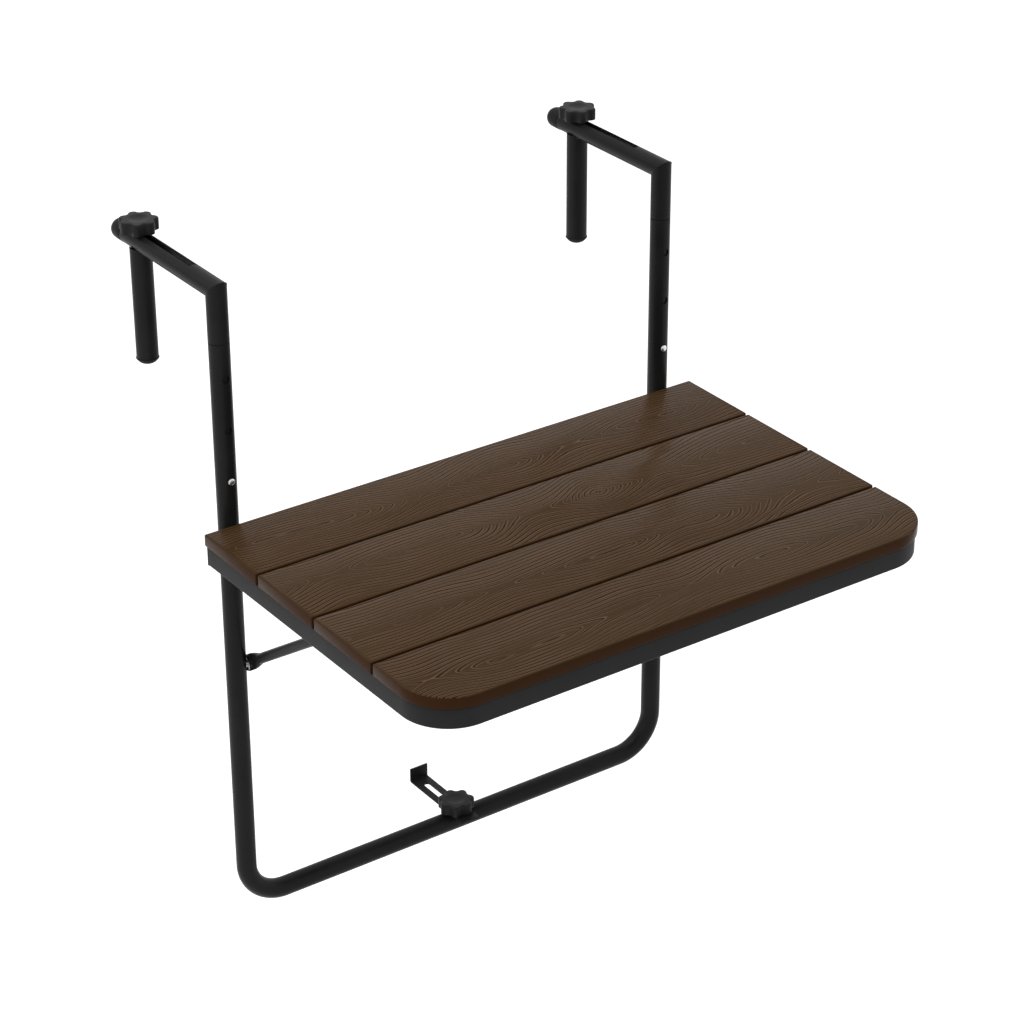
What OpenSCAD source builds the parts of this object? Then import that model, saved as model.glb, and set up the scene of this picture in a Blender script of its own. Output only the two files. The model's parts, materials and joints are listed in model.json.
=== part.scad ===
// Balcony railing bar table, folding
// X runs along the railing, -Y points to the user and +Z up.
// The origin is where the hooks rest: midway between them, on top of the railing,
// at the face of the uprights that touches it. All sizes are in millimetres.

/* [Tabletop] */
// Length of the tabletop along the railing
top_length = 600; // [560:5:900]
// Depth of the tabletop from its rear edge to its front edge
top_depth = 400; // [340:5:500]
// Thickness of a plank
plank_thick = 13; // [10:0.5:20]
// Number of planks
plank_count = 4; // [3:1:6]
// Gap between two planks
plank_gap = 3.3; // [2:0.1:6]
// Bevel along the plank edges
plank_bevel = 1; // [0.5:0.1:2]
// Radius of the two front corners
corner_radius = 54; // [40:1:80]
// Height from the tabletop's upper face to the top of the railing
top_drop = 236.5; // [225:0.5:300]
// Gap between the tabletop's rear edge and the uprights
top_setback = 1.5; // [1:0.5:6]

/* [Steel rim] */
// Height of the rim tube
rim_height = 22; // [20:0.5:30]
// Width of the rim tube
rim_width = 15; // [12:0.5:20]
// Wall of the rim, the rear rail and the bearers
rim_wall = 1.5; // [1:0.1:2]
// Distance from the plank edges in to the rim
rim_inset = 2; // [1:0.5:6]
// Distance from the rear plank's edge to the rim's rear ends
rim_end_setback = 2.3; // [1:0.1:3]
// Gap between the hinge ears and the rear rail
rear_rail_gap = 2.4; // [2:0.1:6]
// Distance between the centre lines of the two bearers
bearer_spacing = 190; // [120:5:260]
// Width of a bearer
bearer_width = 20; // [16:1:30]
// Height of a bearer
bearer_height = 14.6; // [12:0.1:17]

/* [Frame tube] */
// Outer diameter of the frame and hook tube
tube_od = 21.2; // [19:0.2:23]
// Wall of the frame and hook tube
tube_wall = 1.2; // [1:0.1:1.6]
// Distance from the tabletop's end in to the axis of an upright
upright_inset = 34.5; // [32:0.5:60]
// Depth of the bottom rail's axis below the top of the railing
frame_drop = 690; // [660:1:760]
// Radius of the bends on the tube's centre line
bend_radius = 45; // [35:1:60]
// Depth of the seam between hook and frame below the top of the railing
seam_drop = 43.5; // [30:0.5:60]
// Running clearance between moving pieces
run_gap = 0.3; // [0.25:0.05:0.4]
// Seat clearance between pieces that are fixed to each other
seat_gap = 0.15; // [0.1:0.05:0.2]

/* [Height adjustment] */
// Number of height holes in each upright
hole_count = 3; // [2:1:4]
// Distance between two height holes
hole_pitch = 55; // [40:1:60]
// Depth of the first hole below the top of the railing
first_hole_drop = 80; // [70:1:90]
// Diameter of a height hole
hole_dia = 8; // [7.5:0.1:10]
// Diameter of the spring button
button_dia = 7; // [6:0.1:7.2]
// How far the spring button stands out of the tube
button_proud = 1.6; // [1:0.1:3]
// Length of the insert tube below the button
insert_below = 20; // [15:1:30]
// Height of the insert tube's top end above the seam
insert_above = 24.5; // [15:0.5:28]
// Wall of the insert tube
insert_wall = 1.2; // [1:0.1:1.6]
// Width of the leaf spring
spring_width = 8; // [6:0.5:9]
// Thickness of the leaf spring
spring_thick = 1; // [0.6:0.1:1.2]
// Distance between the outer faces of the spring's two legs
spring_spread = 12.4; // [11:0.1:13]
// Distance from the spring's bend down to the button
spring_reach = 50; // [40:1:60]
// Length of the spring's legs below the button
spring_tail = 8; // [6:1:12]

/* [Hook arms] */
// Length of the arm tube beyond the uprights' railing side
arm_reach = 161; // [150:1:240]
// Length of the arm cap's straight part
cap_sleeve = 12.4; // [6:0.2:20]
// How far the arm cap stands out round the tube
arm_cap_proud = 0.3; // [0.2:0.1:0.8]
// Length of the arm cap's spigot inside the tube
cap_spigot = 12; // [8:1:14]
// Width of the slot in the arm
slot_width = 7.5; // [7:0.1:9]
// Distance from the uprights' railing side to the slot
slot_start = 31.4; // [28:0.2:40]
// Distance from the slot's far end to the end of the arm tube
slot_margin = 15; // [14:1:20]

/* [Clamp legs] */
// Distance from the end of the arm tube back to the clamp leg's axis
clamp_inset = 24.4; // [23:0.2:80]
// Outer diameter of the clamp leg
leg_od = 22.4; // [20:0.2:26]
// Wall of the clamp leg
leg_wall = 1.5; // [1:0.1:2]
// Length of the clamp leg below the underside of the arm, without its cap
leg_length = 114.5; // [90:0.5:160]
// Height of the leg's saddle flanks above the underside of the arm
saddle_rise = 4; // [2:0.5:6]
// Height of the leg cap's rounded rim
leg_cap_rim = 2; // [1:0.1:3]
// How far that rim stands out round the leg
leg_cap_proud = 0.6; // [0.3:0.1:1]
// Height of the leg cap's dome
leg_cap_dome = 5.5; // [3:0.1:8]
// Length of the leg cap's spigot
leg_cap_spigot = 12; // [8:1:20]
// Diameter of the threaded studs
stud_dia = 6; // [5:0.5:6.5]
// Thickness of the plate that carries the stud inside the leg
stud_plate = 4; // [3:0.5:6]
// Depth of that plate below the saddle
stud_plate_depth = 6; // [4:0.5:12]

/* [Star knobs] */
// Diameter over the lobes
knob_dia = 40; // [34:1:44]
// Height of a knob
knob_height = 12.4; // [11:0.1:16]
// Number of lobes
knob_lobes = 7; // [5:1:8]
// Radius of a lobe's tip
lobe_radius = 5; // [4:0.1:5.5]
// Radius of the hollow between two lobes
valley_radius = 6; // [5:0.1:7]
// How far a hollow cuts into the lobes beside it
valley_bite = 0.1; // [0.05:0.05:0.3]
// Rounding of the knob's upper edge
knob_edge = 1.6; // [0.8:0.1:2.5]
// Diameter of the dish in the top
dish_dia = 20; // [14:0.5:22]
// Depth of the dish
dish_depth = 1.5; // [0.8:0.1:2]
// Diameter of the hub on the underside
hub_dia = 15; // [13:0.5:18]
// Depth of the groove round the hub
groove_depth = 6; // [3:0.5:8]
// Width of the groove round the hub
groove_width = 5; // [3:0.5:6]
// Outer diameter of the threaded insert
knob_insert_dia = 9; // [8:0.5:10]
// Depth of the bore in the knob
knob_bore_depth = 9; // [7:0.5:10]
// Turn of the clamp knobs on their studs
clamp_knob_turn = 47; // [0:1:51]
// Turn of the bracket's knob on its stud
lower_knob_turn = 30; // [0:1:51]

/* [Brace] */
// Outer diameter of the brace tube
brace_od = 11; // [10:0.5:14]
// Wall of the brace tube
brace_wall = 1.2; // [1:0.1:2]
// Length of the brace from its pivot to its cross tube
brace_length = 240; // [228:1:246]
// Height from the brace pivot to the tabletop's upper face
brace_pivot_drop = 168.3; // [160:0.5:180]
// Bend radius of the brace's corners on the centre line
brace_bend = 30; // [24:1:40]
// Width of the flattened ends
strap_width = 17.3; // [15:0.1:20]
// Thickness of the flattened ends
strap_thick = 2.8; // [2.2:0.1:3.5]
// Length of the flat part beyond the pivot
strap_flat = 12; // [10:1:24]
// Length of the change from flat to round
strap_taper = 10; // [8:1:24]
// Diameter of the bright washer
washer_dia = 15; // [13:0.5:18]
// Thickness of the washer
washer_thick = 1.3; // [1:0.1:1.6]
// Diameter of the pivot bolts
bolt_dia = 6; // [5:0.5:6.5]
// Diameter of the bolt heads
bolt_head_dia = 11; // [9:0.5:12]
// Height of the bolt heads
bolt_head_height = 3.6; // [2.5:0.1:4]
// Diameter of the threaded inserts in the uprights
brace_insert_dia = 9; // [8:0.5:9.5]
// Length of the threaded inserts in the uprights
brace_insert_length = 9; // [7:0.5:10]
// Wall of a catch round the cross tube
catch_wall = 4; // [3:0.5:6]
// Depth of the catch's front lip below the cross tube's axis
catch_lip = 3.5; // [2:0.5:4]

/* [Lower bracket] */
// Width of the bracket strip
bracket_width = 22.4; // [18:0.2:28]
// Thickness of the bracket strip
bracket_thick = 2; // [1.5:0.1:3]
// Distance from the uprights' railing side to the flange's outer face
bracket_reach = 65.5; // [50:0.5:80]
// Height of the upturned flange above the strip's underside
flange_height = 17; // [15:0.5:25]
// Distance from the bottom rail's axis to the strip's front end
bracket_tail = 26.9; // [24:0.1:40]
// Inner radius of the strip's bend
bracket_bend = 0.6; // [0.4:0.1:3]
// Width of the bracket's slot
bracket_slot_width = 7; // [6.8:0.1:9]
// Distance from the slot to the strip's front end
bracket_slot_front = 10; // [8:0.5:12]
// Distance from the slot to the flange's outer face
bracket_slot_rear = 14.5; // [12:0.5:20]
// Depth of the stud's head below the inside of the bottom rail
stud_head_gap = 1.2; // [0.8:0.1:2]

/* [Table hinge] */
// Distance from the uprights' axis forward to the hinge axis
hinge_forward = 24; // [23:0.5:26]
// Depth of the hinge axis below the tabletop's upper face
hinge_drop = 26; // [25:0.5:28]
// Radius of the hinge ears round the axis
ear_radius = 9; // [8:0.5:10]
// Thickness of the hinge ears
ear_thick = 3; // [2.5:0.1:4]
// Thickness of the spacer between ear and rim
hinge_spacer_thick = 2.9; // [2:0.1:4]
// Height of the hinge nuts
nut_height = 3.6; // [3:0.1:5]
// Width of the hinge nuts across flats
nut_width = 10; // [9:0.5:11]

/* [Plank screws] */
// Diameter of the plank screws
screw_dia = 4; // [3.5:0.1:5]
// Diameter of the screw heads
screw_head_dia = 7.6; // [7:0.1:9]
// Height of the screw heads
screw_head_height = 2.2; // [1.8:0.1:3]
// Depth of the screws in the planks
screw_depth = 8.5; // [6:0.5:9]
// Diameter of the access holes in the rim's underside
access_dia = 10; // [9:0.5:11]
// Thickness of the plugs in the rim's rear ends
plug_thick = 1.6; // [1:0.1:1.8]
// Length of the plugs inside the rim
plug_depth = 3; // [2:0.1:3.4]
// How far the plugs' corners are cut back
plug_corner = 0.4; // [0.2:0.1:1]

/* [Hidden] */

$fn = 72;

// One overrun for every cut
over = tube_od / 10;

// Frame places
tube_r = tube_od / 2;
bore_r = tube_r - tube_wall;
upright_x = top_length / 2 - upright_inset;
upright_y = -tube_r;
rail_z = -frame_drop;
bend_z = rail_z + bend_radius;
frame_top = -seam_drop - run_gap / 2;
hook_bottom = -seam_drop + run_gap / 2;
arm_z = tube_r;

// Tabletop places
top_z = -top_drop;
under_z = top_z - plank_thick;
rear_y = -tube_od - top_setback;
front_y = rear_y - top_depth;
plank_width = (top_depth - (plank_count - 1) * plank_gap) / plank_count;
rim_side_x = top_length / 2 - rim_inset;
rim_front_y = front_y + rim_inset;
rim_rear_y = rear_y - rim_end_setback;
rim_inner_x = rim_side_x - rim_width;

// Table hinge places
hinge_y = upright_y - hinge_forward;
hinge_z = top_z - hinge_drop;
ear_inner_x = upright_x + tube_r + run_gap;
ear_outer_x = ear_inner_x + ear_thick;
spacer_outer_x = rim_inner_x - run_gap;
rear_rail_y = hinge_y - ear_radius - rear_rail_gap;
bolt_r = bolt_dia / 2;
bolt_hole_r = bolt_r + run_gap;

// Brace places
brace_r = brace_od / 2;
brace_pivot_z = top_z - brace_pivot_drop;
bearer_bottom = under_z - bearer_height;
cross_z = bearer_bottom - run_gap - brace_r;
brace_angle = asin((cross_z - brace_pivot_z) / brace_length);
cross_y = upright_y - brace_length * cos(brace_angle);
washer_outer_x = upright_x - tube_r - seat_gap;
washer_inner_x = washer_outer_x - washer_thick;
strap_outer_x = washer_inner_x - run_gap;
strap_inner_x = strap_outer_x - strap_thick;
brace_leg_x = strap_outer_x - brace_r;
brace_head_x = strap_inner_x - run_gap;

// Spring button places
hole_drops = [for (i = [0 : hole_count - 1]) first_hole_drop + i * hole_pitch];
button_z = -hole_drops[hole_count - 1];
insert_r = bore_r - run_gap;
spring_bend_z = button_z + spring_reach;
spring_bottom = button_z - spring_tail;
spring_leg_y = spring_spread / 2;

// Clamp places
clamp_reach = arm_reach - clamp_inset;
slot_end = arm_reach - slot_margin;
leg_r = leg_od / 2;
leg_bore_r = leg_r - leg_wall;
stud_r = stud_dia / 2;
stud_hole_r = stud_r + run_gap;

// Knob outline: lobe circles on one ring and hollow circles on a second
// one, placed so that each hollow just cuts its two neighbouring lobes
lobe_ring = knob_dia / 2 - lobe_radius;
half_step = 180 / knob_lobes;
blend_reach = lobe_radius + valley_radius - valley_bite;
lobe_across = lobe_ring * sin(half_step);
valley_ring = lobe_ring * cos(half_step) + sqrt(pow(blend_reach, 2) - pow(lobe_across, 2));
arm_knob_z = tube_od + run_gap;

// Bracket places
strip_z = rail_z + tube_r + run_gap;
bracket_front_y = upright_y - bracket_tail;
bracket_knob_z = strip_z + bracket_thick + run_gap;
bracket_slot_r = bracket_slot_width / 2;

// Share of the tube's radius that the ears reach past the uprights' axis
ear_back_share = 0.6;
// Share of the knob's bore that its stud fills
stud_fill_share = 0.85;
// Share of the bolt head's radius that its socket takes
socket_share = 0.5;
// Share of a piece's thickness that its narrow lap takes
thin_share = 0.4;
// Radius of rounded heads as a share of the diameter they belong to
head_share = 0.8;

// Helpers

// Mirrors a right-hand piece to the left where side is -1
module on_side(side) {
    if (side > 0) children();
    else mirror([1, 0, 0]) children();
}

// Both sides of a pair that shares one node
module both_sides() {
    for (side = [-1, 1]) on_side(side) children();
}

// Round bar along X from one place to another
module x_bar(from_x, to_x, r) {
    translate([from_x, 0, 0]) rotate([0, 90, 0]) cylinder(h = to_x - from_x, r = r);
}

// Round bar along Y from one place to another
module y_bar(from_y, to_y, r) {
    translate([0, from_y, 0]) rotate([-90, 0, 0]) cylinder(h = to_y - from_y, r = r);
}

// Box given by its low and high corners
module span(low, high) {
    translate(low) cube(high - low);
}

// Profile in Y and Z carried along X from one place to another
module yz_profile(from_x, to_x) {
    translate([from_x, 0, 0]) rotate([90, 0, 90]) linear_extrude(to_x - from_x) children();
}

// Frame

// Path of the bent frame tube as a solid of one radius
module frame_path(r, top) {
    both_sides() {
        translate([upright_x, upright_y, bend_z]) cylinder(h = top - bend_z, r = r);
        translate([upright_x - bend_radius, upright_y, bend_z]) rotate([-90, 0, 0])
            rotate_extrude(angle = 90) translate([bend_radius, 0]) circle(r = r);
    }
    translate([0, upright_y, rail_z])
        x_bar(bend_radius - upright_x, upright_x - bend_radius, r);
}

module u_frame() {
    color("#232323")
    difference() {
        frame_path(tube_r, frame_top);
        frame_path(bore_r, frame_top + over);
        both_sides() translate([upright_x, upright_y, 0]) {
            for (drop = hole_drops)
                translate([0, 0, -drop]) y_bar(-tube_r - over, 0, hole_dia / 2);
            translate([0, 0, brace_pivot_z])
                x_bar(-tube_r - over, 0, brace_insert_dia / 2 + seat_gap);
        }
        translate([0, upright_y, rail_z]) cylinder(h = tube_od, r = stud_r + seat_gap);
    }
}

module hinge_ear(side) {
    color("#232323")
    on_side(side) difference() {
        translate([0, hinge_y, hinge_z]) {
            x_bar(ear_inner_x, ear_outer_x, ear_radius);
            span([ear_inner_x, 0, -ear_radius],
                [ear_outer_x, hinge_forward + tube_r * ear_back_share, ear_radius]);
        }
        translate([0, hinge_y, hinge_z])
            x_bar(ear_inner_x - over, ear_outer_x + over, bolt_r + seat_gap);
    }
}

// Button head bolt along +X: the head ends at x = 0 and the shank starts there
module button_bolt(length) {
    difference() {
        union() {
            intersection() {
                x_bar(-bolt_head_height, 0, bolt_head_dia / 2);
                translate([bolt_head_dia - bolt_head_height, 0, 0]) sphere(r = bolt_head_dia);
            }
            x_bar(0, length, bolt_r);
        }
        x_bar(-bolt_head_height - over, -bolt_head_height * socket_share,
            bolt_head_dia / 2 * socket_share);
    }
}

module hinge_bolts() {
    color("silver")
    both_sides() translate([ear_inner_x, hinge_y, hinge_z])
        button_bolt(rim_inner_x + rim_wall + run_gap + nut_height - ear_inner_x);
}

module hinge_spacers() {
    color("#1c1c1c")
    both_sides() translate([0, hinge_y, hinge_z]) difference() {
        x_bar(ear_outer_x, spacer_outer_x, ear_radius - run_gap);
        x_bar(ear_outer_x - over, spacer_outer_x + over, bolt_r + seat_gap);
    }
}

module hinge_nuts() {
    color("silver")
    both_sides() translate([rim_inner_x + rim_wall + run_gap, hinge_y, hinge_z])
        rotate([0, 90, 0]) difference() {
            cylinder(h = nut_height, d = nut_width / cos(30), $fn = 6);
            translate([0, 0, -over])
                cylinder(h = nut_height + over * 2, r = bolt_r + seat_gap);
        }
}

module brace_bolts() {
    color("silver")
    both_sides() translate([brace_head_x, upright_y, brace_pivot_z])
        button_bolt(upright_x - brace_head_x - run_gap);
}

module brace_washers() {
    color("#c9cacb")
    both_sides() translate([0, upright_y, brace_pivot_z]) difference() {
        x_bar(washer_inner_x, washer_outer_x, washer_dia / 2);
        x_bar(washer_inner_x - over, washer_outer_x + over, bolt_r + seat_gap);
    }
}

module brace_inserts() {
    color("silver")
    both_sides() translate([upright_x - tube_r, upright_y, brace_pivot_z]) difference() {
        x_bar(0, brace_insert_length, brace_insert_dia / 2);
        x_bar(-over, brace_insert_length + over, bolt_r + seat_gap);
    }
}

// Stud of the lower bracket, its head held inside the bottom rail
module bracket_stud() {
    stud_top = bracket_knob_z + knob_bore_depth * stud_fill_share;
    head_top = rail_z + bore_r - stud_head_gap;
    color("silver")
    translate([0, upright_y, 0]) {
        translate([0, 0, head_top - bracket_thick])
            cylinder(h = bracket_thick, r = stud_dia * head_share);
        translate([0, 0, head_top]) cylinder(h = stud_top - head_top, r = stud_r);
    }
}

// Hooks

// Half space on the arm's side of the mitre, or on the upright's side
module mitre_block(arm_side) {
    size = arm_reach * 2;
    translate([0, upright_y, arm_z]) rotate([-45, 0, 0])
        translate([-size / 2, -size / 2, arm_side ? 0 : -size]) cube(size);
}

// Elbow of upright and arm, mitred at their corner, as a solid of one radius
module elbow(r, extra) {
    difference() {
        translate([0, upright_y, hook_bottom - extra])
            cylinder(h = arm_z + r - hook_bottom + extra, r = r);
        mitre_block(true);
    }
    difference() {
        translate([0, 0, arm_z]) y_bar(upright_y - r, arm_reach + extra, r);
        mitre_block(false);
    }
}

module hook(side) {
    color("#232323")
    on_side(side) translate([upright_x, 0, 0]) difference() {
        elbow(tube_r, 0);
        elbow(bore_r, over);
        span([-slot_width / 2, slot_start, -over], [slot_width / 2, slot_end, tube_od + over]);
    }
}

module hook_insert(side) {
    insert_bottom = button_z - insert_below;
    insert_top = insert_above - seam_drop;
    color("#232323")
    on_side(side) translate([upright_x, upright_y, 0]) difference() {
        translate([0, 0, insert_bottom])
            cylinder(h = insert_top - insert_bottom, r = insert_r);
        translate([0, 0, insert_bottom - over])
            cylinder(h = insert_top - insert_bottom + over * 2, r = insert_r - insert_wall);
        translate([0, 0, button_z]) y_bar(-tube_r, 0, hole_dia / 2);
    }
}

module arm_cap(side) {
    cap_r = tube_r + arm_cap_proud;
    color("#262626")
    on_side(side) translate([upright_x, 0, arm_z]) {
        y_bar(arm_reach, arm_reach + cap_sleeve, cap_r);
        y_bar(arm_reach - cap_spigot, arm_reach, bore_r - seat_gap);
        intersection() {
            translate([0, arm_reach + cap_sleeve, 0]) sphere(r = cap_r);
            y_bar(arm_reach + cap_sleeve, arm_reach + cap_sleeve + tube_od, tube_od);
        }
    }
}

// Fixed leg and bend of the leaf spring
module spring_clip(side) {
    color("#9a9c9e")
    on_side(side) translate([upright_x, upright_y, 0]) {
        yz_profile(-spring_width / 2, spring_width / 2) {
            translate([0, spring_bend_z]) difference() {
                circle(r = spring_leg_y);
                circle(r = spring_leg_y - spring_thick);
                translate([-spring_spread, -spring_spread])
                    square([spring_spread * 2, spring_spread]);
            }
            translate([spring_leg_y - spring_thick, spring_bottom])
                square([spring_thick, spring_bend_z - spring_bottom]);
        }
    }
}

// Moving leg of the leaf spring with its button
module snap_button(side) {
    stem_end = -tube_r - button_proud;
    dome_r = button_dia * head_share;
    color("#d4d6d8")
    on_side(side) translate([upright_x, upright_y, 0]) {
        span([-spring_width / 2, -spring_leg_y, spring_bottom],
            [spring_width / 2, spring_thick - spring_leg_y, spring_bend_z - run_gap]);
        translate([0, 0, button_z]) intersection() {
            y_bar(stem_end, spring_thick * thin_share - spring_leg_y, button_dia / 2);
            translate([0, stem_end + dome_r, 0]) sphere(r = dome_r);
        }
    }
}

// Clamps

module clamp_leg(side) {
    color("#232323")
    on_side(side) translate([upright_x, 0, 0]) difference() {
        translate([0, clamp_reach, -leg_length])
            cylinder(h = leg_length + saddle_rise, r = leg_r);
        translate([0, clamp_reach, -leg_length - over])
            cylinder(h = leg_length + saddle_rise + over * 2, r = leg_bore_r);
        translate([0, 0, arm_z])
            y_bar(clamp_reach - leg_od, clamp_reach + leg_od, tube_r + run_gap);
    }
}

module leg_cap(side) {
    bulge_r = leg_cap_rim / 2;
    bulge_ring = leg_r + leg_cap_proud - bulge_r;
    base_r = bulge_ring - bulge_r * thin_share;
    dome_r = (pow(base_r, 2) + pow(leg_cap_dome, 2)) / (leg_cap_dome * 2);
    color("#262626")
    on_side(side) translate([upright_x, clamp_reach, -leg_length]) {
        rotate_extrude() translate([0, -leg_cap_rim]) {
            square([bulge_ring, leg_cap_rim]);
            translate([bulge_ring, bulge_r]) circle(r = bulge_r);
        }
        cylinder(h = leg_cap_spigot, r = leg_bore_r - seat_gap);
        translate([0, 0, -leg_cap_rim]) intersection() {
            translate([0, 0, dome_r - leg_cap_dome]) sphere(r = dome_r);
            translate([0, 0, -leg_cap_dome]) cylinder(h = leg_cap_dome, r = leg_r);
        }
    }
}

module clamp_stud(side) {
    plate_top = -stud_plate_depth;
    stud_top = arm_knob_z + knob_bore_depth * stud_fill_share;
    color("#a9abad")
    on_side(side) translate([upright_x, clamp_reach, 0]) {
        translate([0, 0, plate_top - stud_plate])
            cylinder(h = stud_plate, r = leg_bore_r - seat_gap);
        translate([0, 0, plate_top]) cylinder(h = stud_top - plate_top, r = stud_r);
    }
}

// Outline of a star knob: a core through the touching points, lobes and hollows
module knob_outline() {
    touch_share = lobe_radius / blend_reach;
    core = [for (i = [0 : knob_lobes - 1]) for (s = [-1, 1])
        let (a = i * 2 * half_step, b = a + s * half_step)
            lobe_ring * [cos(a), sin(a)] * (1 - touch_share)
            + valley_ring * [cos(b), sin(b)] * touch_share];
    difference() {
        union() {
            polygon(core);
            for (i = [0 : knob_lobes - 1]) rotate(i * 2 * half_step)
                translate([lobe_ring, 0]) circle(r = lobe_radius);
        }
        for (i = [0 : knob_lobes - 1]) rotate((i * 2 + 1) * half_step)
            translate([valley_ring, 0]) circle(r = valley_radius);
    }
}

// Star knob standing on z = 0, with the bore for its insert from below
module star_knob() {
    edge_ring = knob_dia / 2 + run_gap - knob_edge;
    dish_r = (pow(dish_dia / 2, 2) + pow(dish_depth, 2)) / (dish_depth * 2);
    difference() {
        intersection() {
            linear_extrude(knob_height) knob_outline();
            rotate_extrude() {
                square([edge_ring, knob_height]);
                square([edge_ring + knob_edge, knob_height - knob_edge]);
                translate([edge_ring, knob_height - knob_edge]) circle(r = knob_edge);
            }
        }
        translate([0, 0, knob_height - dish_depth + dish_r]) sphere(r = dish_r);
        translate([0, 0, -over])
            cylinder(h = knob_bore_depth + over, r = knob_insert_dia / 2 + seat_gap);
        translate([0, 0, -over]) difference() {
            cylinder(h = groove_depth + over, r = hub_dia / 2 + groove_width);
            translate([0, 0, -over])
                cylinder(h = groove_depth + over * 3, r = hub_dia / 2);
        }
    }
}

// Threaded insert of a star knob
module knob_bush() {
    difference() {
        cylinder(h = knob_bore_depth, r = knob_insert_dia / 2);
        translate([0, 0, -over]) cylinder(h = knob_bore_depth + over * 2, r = stud_hole_r);
    }
}

module clamp_knob(side) {
    color("#3a3b3d")
    on_side(side) translate([upright_x, clamp_reach, arm_knob_z])
        rotate(clamp_knob_turn) star_knob();
}

module knob_insert(side) {
    color("#b59a55")
    on_side(side) translate([upright_x, clamp_reach, arm_knob_z]) knob_bush();
}

// Tabletop

// Plan of the tabletop, drawn in by an inset, with its two rounded front corners
module top_plan(inset, rear) {
    half = top_length / 2 - inset;
    front = front_y + inset;
    r = corner_radius - inset;
    translate([-half, front + r]) square([half * 2, rear - front - r]);
    translate([r - half, front]) square([(half - r) * 2, r * 2]);
    for (s = [-1, 1]) translate([s * (half - r), front + r]) circle(r = r);
}

// Plan of one plank, counted from the rear, drawn in by an inset
module plank_plan(index, inset) {
    edge = rear_y - index * (plank_width + plank_gap);
    intersection() {
        top_plan(inset, rear_y - inset);
        translate([-top_length, edge - plank_width + inset])
            square([top_length * 2, plank_width - inset * 2]);
    }
}

// Places of the screws of one plank
module screw_places(index) {
    mid = rear_y - index * (plank_width + plank_gap) - plank_width / 2;
    for (x = [rim_side_x - rim_width / 2, bearer_spacing / 2]) for (s = [-1, 1])
        translate([s * x, mid, under_z]) children();
}

module plank(index) {
    color("#4f3f31")
    difference() {
        hull() {
            translate([0, 0, under_z + plank_bevel])
                linear_extrude(plank_thick - plank_bevel * 2) plank_plan(index, 0);
            translate([0, 0, under_z]) linear_extrude(plank_thick)
                plank_plan(index, plank_bevel);
        }
        screw_places(index) translate([0, 0, -over])
            cylinder(h = screw_depth + run_gap + over, r = screw_dia / 2 + seat_gap);
    }
}

module middle_planks() {
    for (index = [1 : plank_count - 2]) plank(index);
}

// Band of the rim between two insets from its outer face, open at the rear
module rim_band(outer, inner, rear) {
    difference() {
        top_plan(rim_inset + outer, rear);
        top_plan(rim_inset + inner, rear + over);
    }
}

module table_rim() {
    rim_bottom = under_z - rim_height;
    color("#303133")
    difference() {
        translate([0, 0, rim_bottom]) linear_extrude(rim_height)
            rim_band(0, rim_width, rim_rear_y);
        translate([0, 0, rim_bottom + rim_wall]) linear_extrude(rim_height - rim_wall * 2)
            rim_band(rim_wall, rim_width - rim_wall, rim_rear_y + over);
        for (index = [0 : plank_count - 1]) screw_places(index) {
            translate([0, 0, -rim_wall - over])
                cylinder(h = rim_wall + over * 2, r = screw_dia / 2 + seat_gap);
            translate([0, 0, -rim_height - over])
                cylinder(h = rim_wall + over * 2, r = access_dia / 2);
        }
        both_sides() translate([0, hinge_y, hinge_z])
            x_bar(rim_inner_x - over, rim_inner_x + rim_wall + over, bolt_hole_r);
    }
}

module rear_rail() {
    half = rim_inner_x - seat_gap;
    rail_bottom = under_z - rim_height;
    color("#303133")
    difference() {
        span([-half, rear_rail_y - rim_width, rail_bottom], [half, rear_rail_y, under_z]);
        span([-half - over, rear_rail_y - rim_width + rim_wall, rail_bottom + rim_wall],
            [half + over, rear_rail_y - rim_wall, under_z - rim_wall]);
    }
}

// Channel under the planks, open downwards
module bearer(side) {
    rear = rear_rail_y - rim_width - seat_gap;
    front = rim_front_y + rim_width + seat_gap;
    color("#303133")
    on_side(side) translate([bearer_spacing / 2, 0, 0]) difference() {
        span([-bearer_width / 2, front, bearer_bottom], [bearer_width / 2, rear, under_z]);
        span([rim_wall - bearer_width / 2, front - over, bearer_bottom - over],
            [bearer_width / 2 - rim_wall, rear + over, under_z - rim_wall]);
        for (index = [0 : plank_count - 1])
            translate([0, rear_y - index * (plank_width + plank_gap) - plank_width / 2, under_z])
                translate([0, 0, -rim_wall - over])
                    cylinder(h = rim_wall + over * 2, r = screw_dia / 2 + seat_gap);
    }
}

module rim_plugs() {
    mid_z = under_z - rim_height / 2;
    spigot_x = rim_width / 2 - rim_wall - seat_gap;
    spigot_z = rim_height / 2 - rim_wall - seat_gap;
    color("#1d1d1d")
    both_sides() translate([rim_side_x - rim_width / 2, rim_rear_y, mid_z]) {
        intersection() {
            span([-rim_width / 2, 0, -rim_height / 2], [rim_width / 2, plug_thick, rim_height / 2]);
            y_bar(0, plug_thick, norm([rim_width, rim_height]) / 2 - plug_corner);
        }
        span([-spigot_x, -plug_depth, -spigot_z], [spigot_x, 0, spigot_z]);
    }
}

module plank_screws() {
    color("#b9bbbd")
    for (index = [0 : plank_count - 1]) screw_places(index) translate([0, 0, -rim_wall]) {
        cylinder(h = rim_wall + screw_depth, r = screw_dia / 2);
        translate([0, 0, -screw_head_height - seat_gap])
            cylinder(h = screw_head_height, r1 = screw_head_dia / 2 * head_share,
                r2 = screw_head_dia / 2);
        translate([0, 0, -seat_gap]) cylinder(h = seat_gap, r = screw_dia / 2);
    }
}

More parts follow.
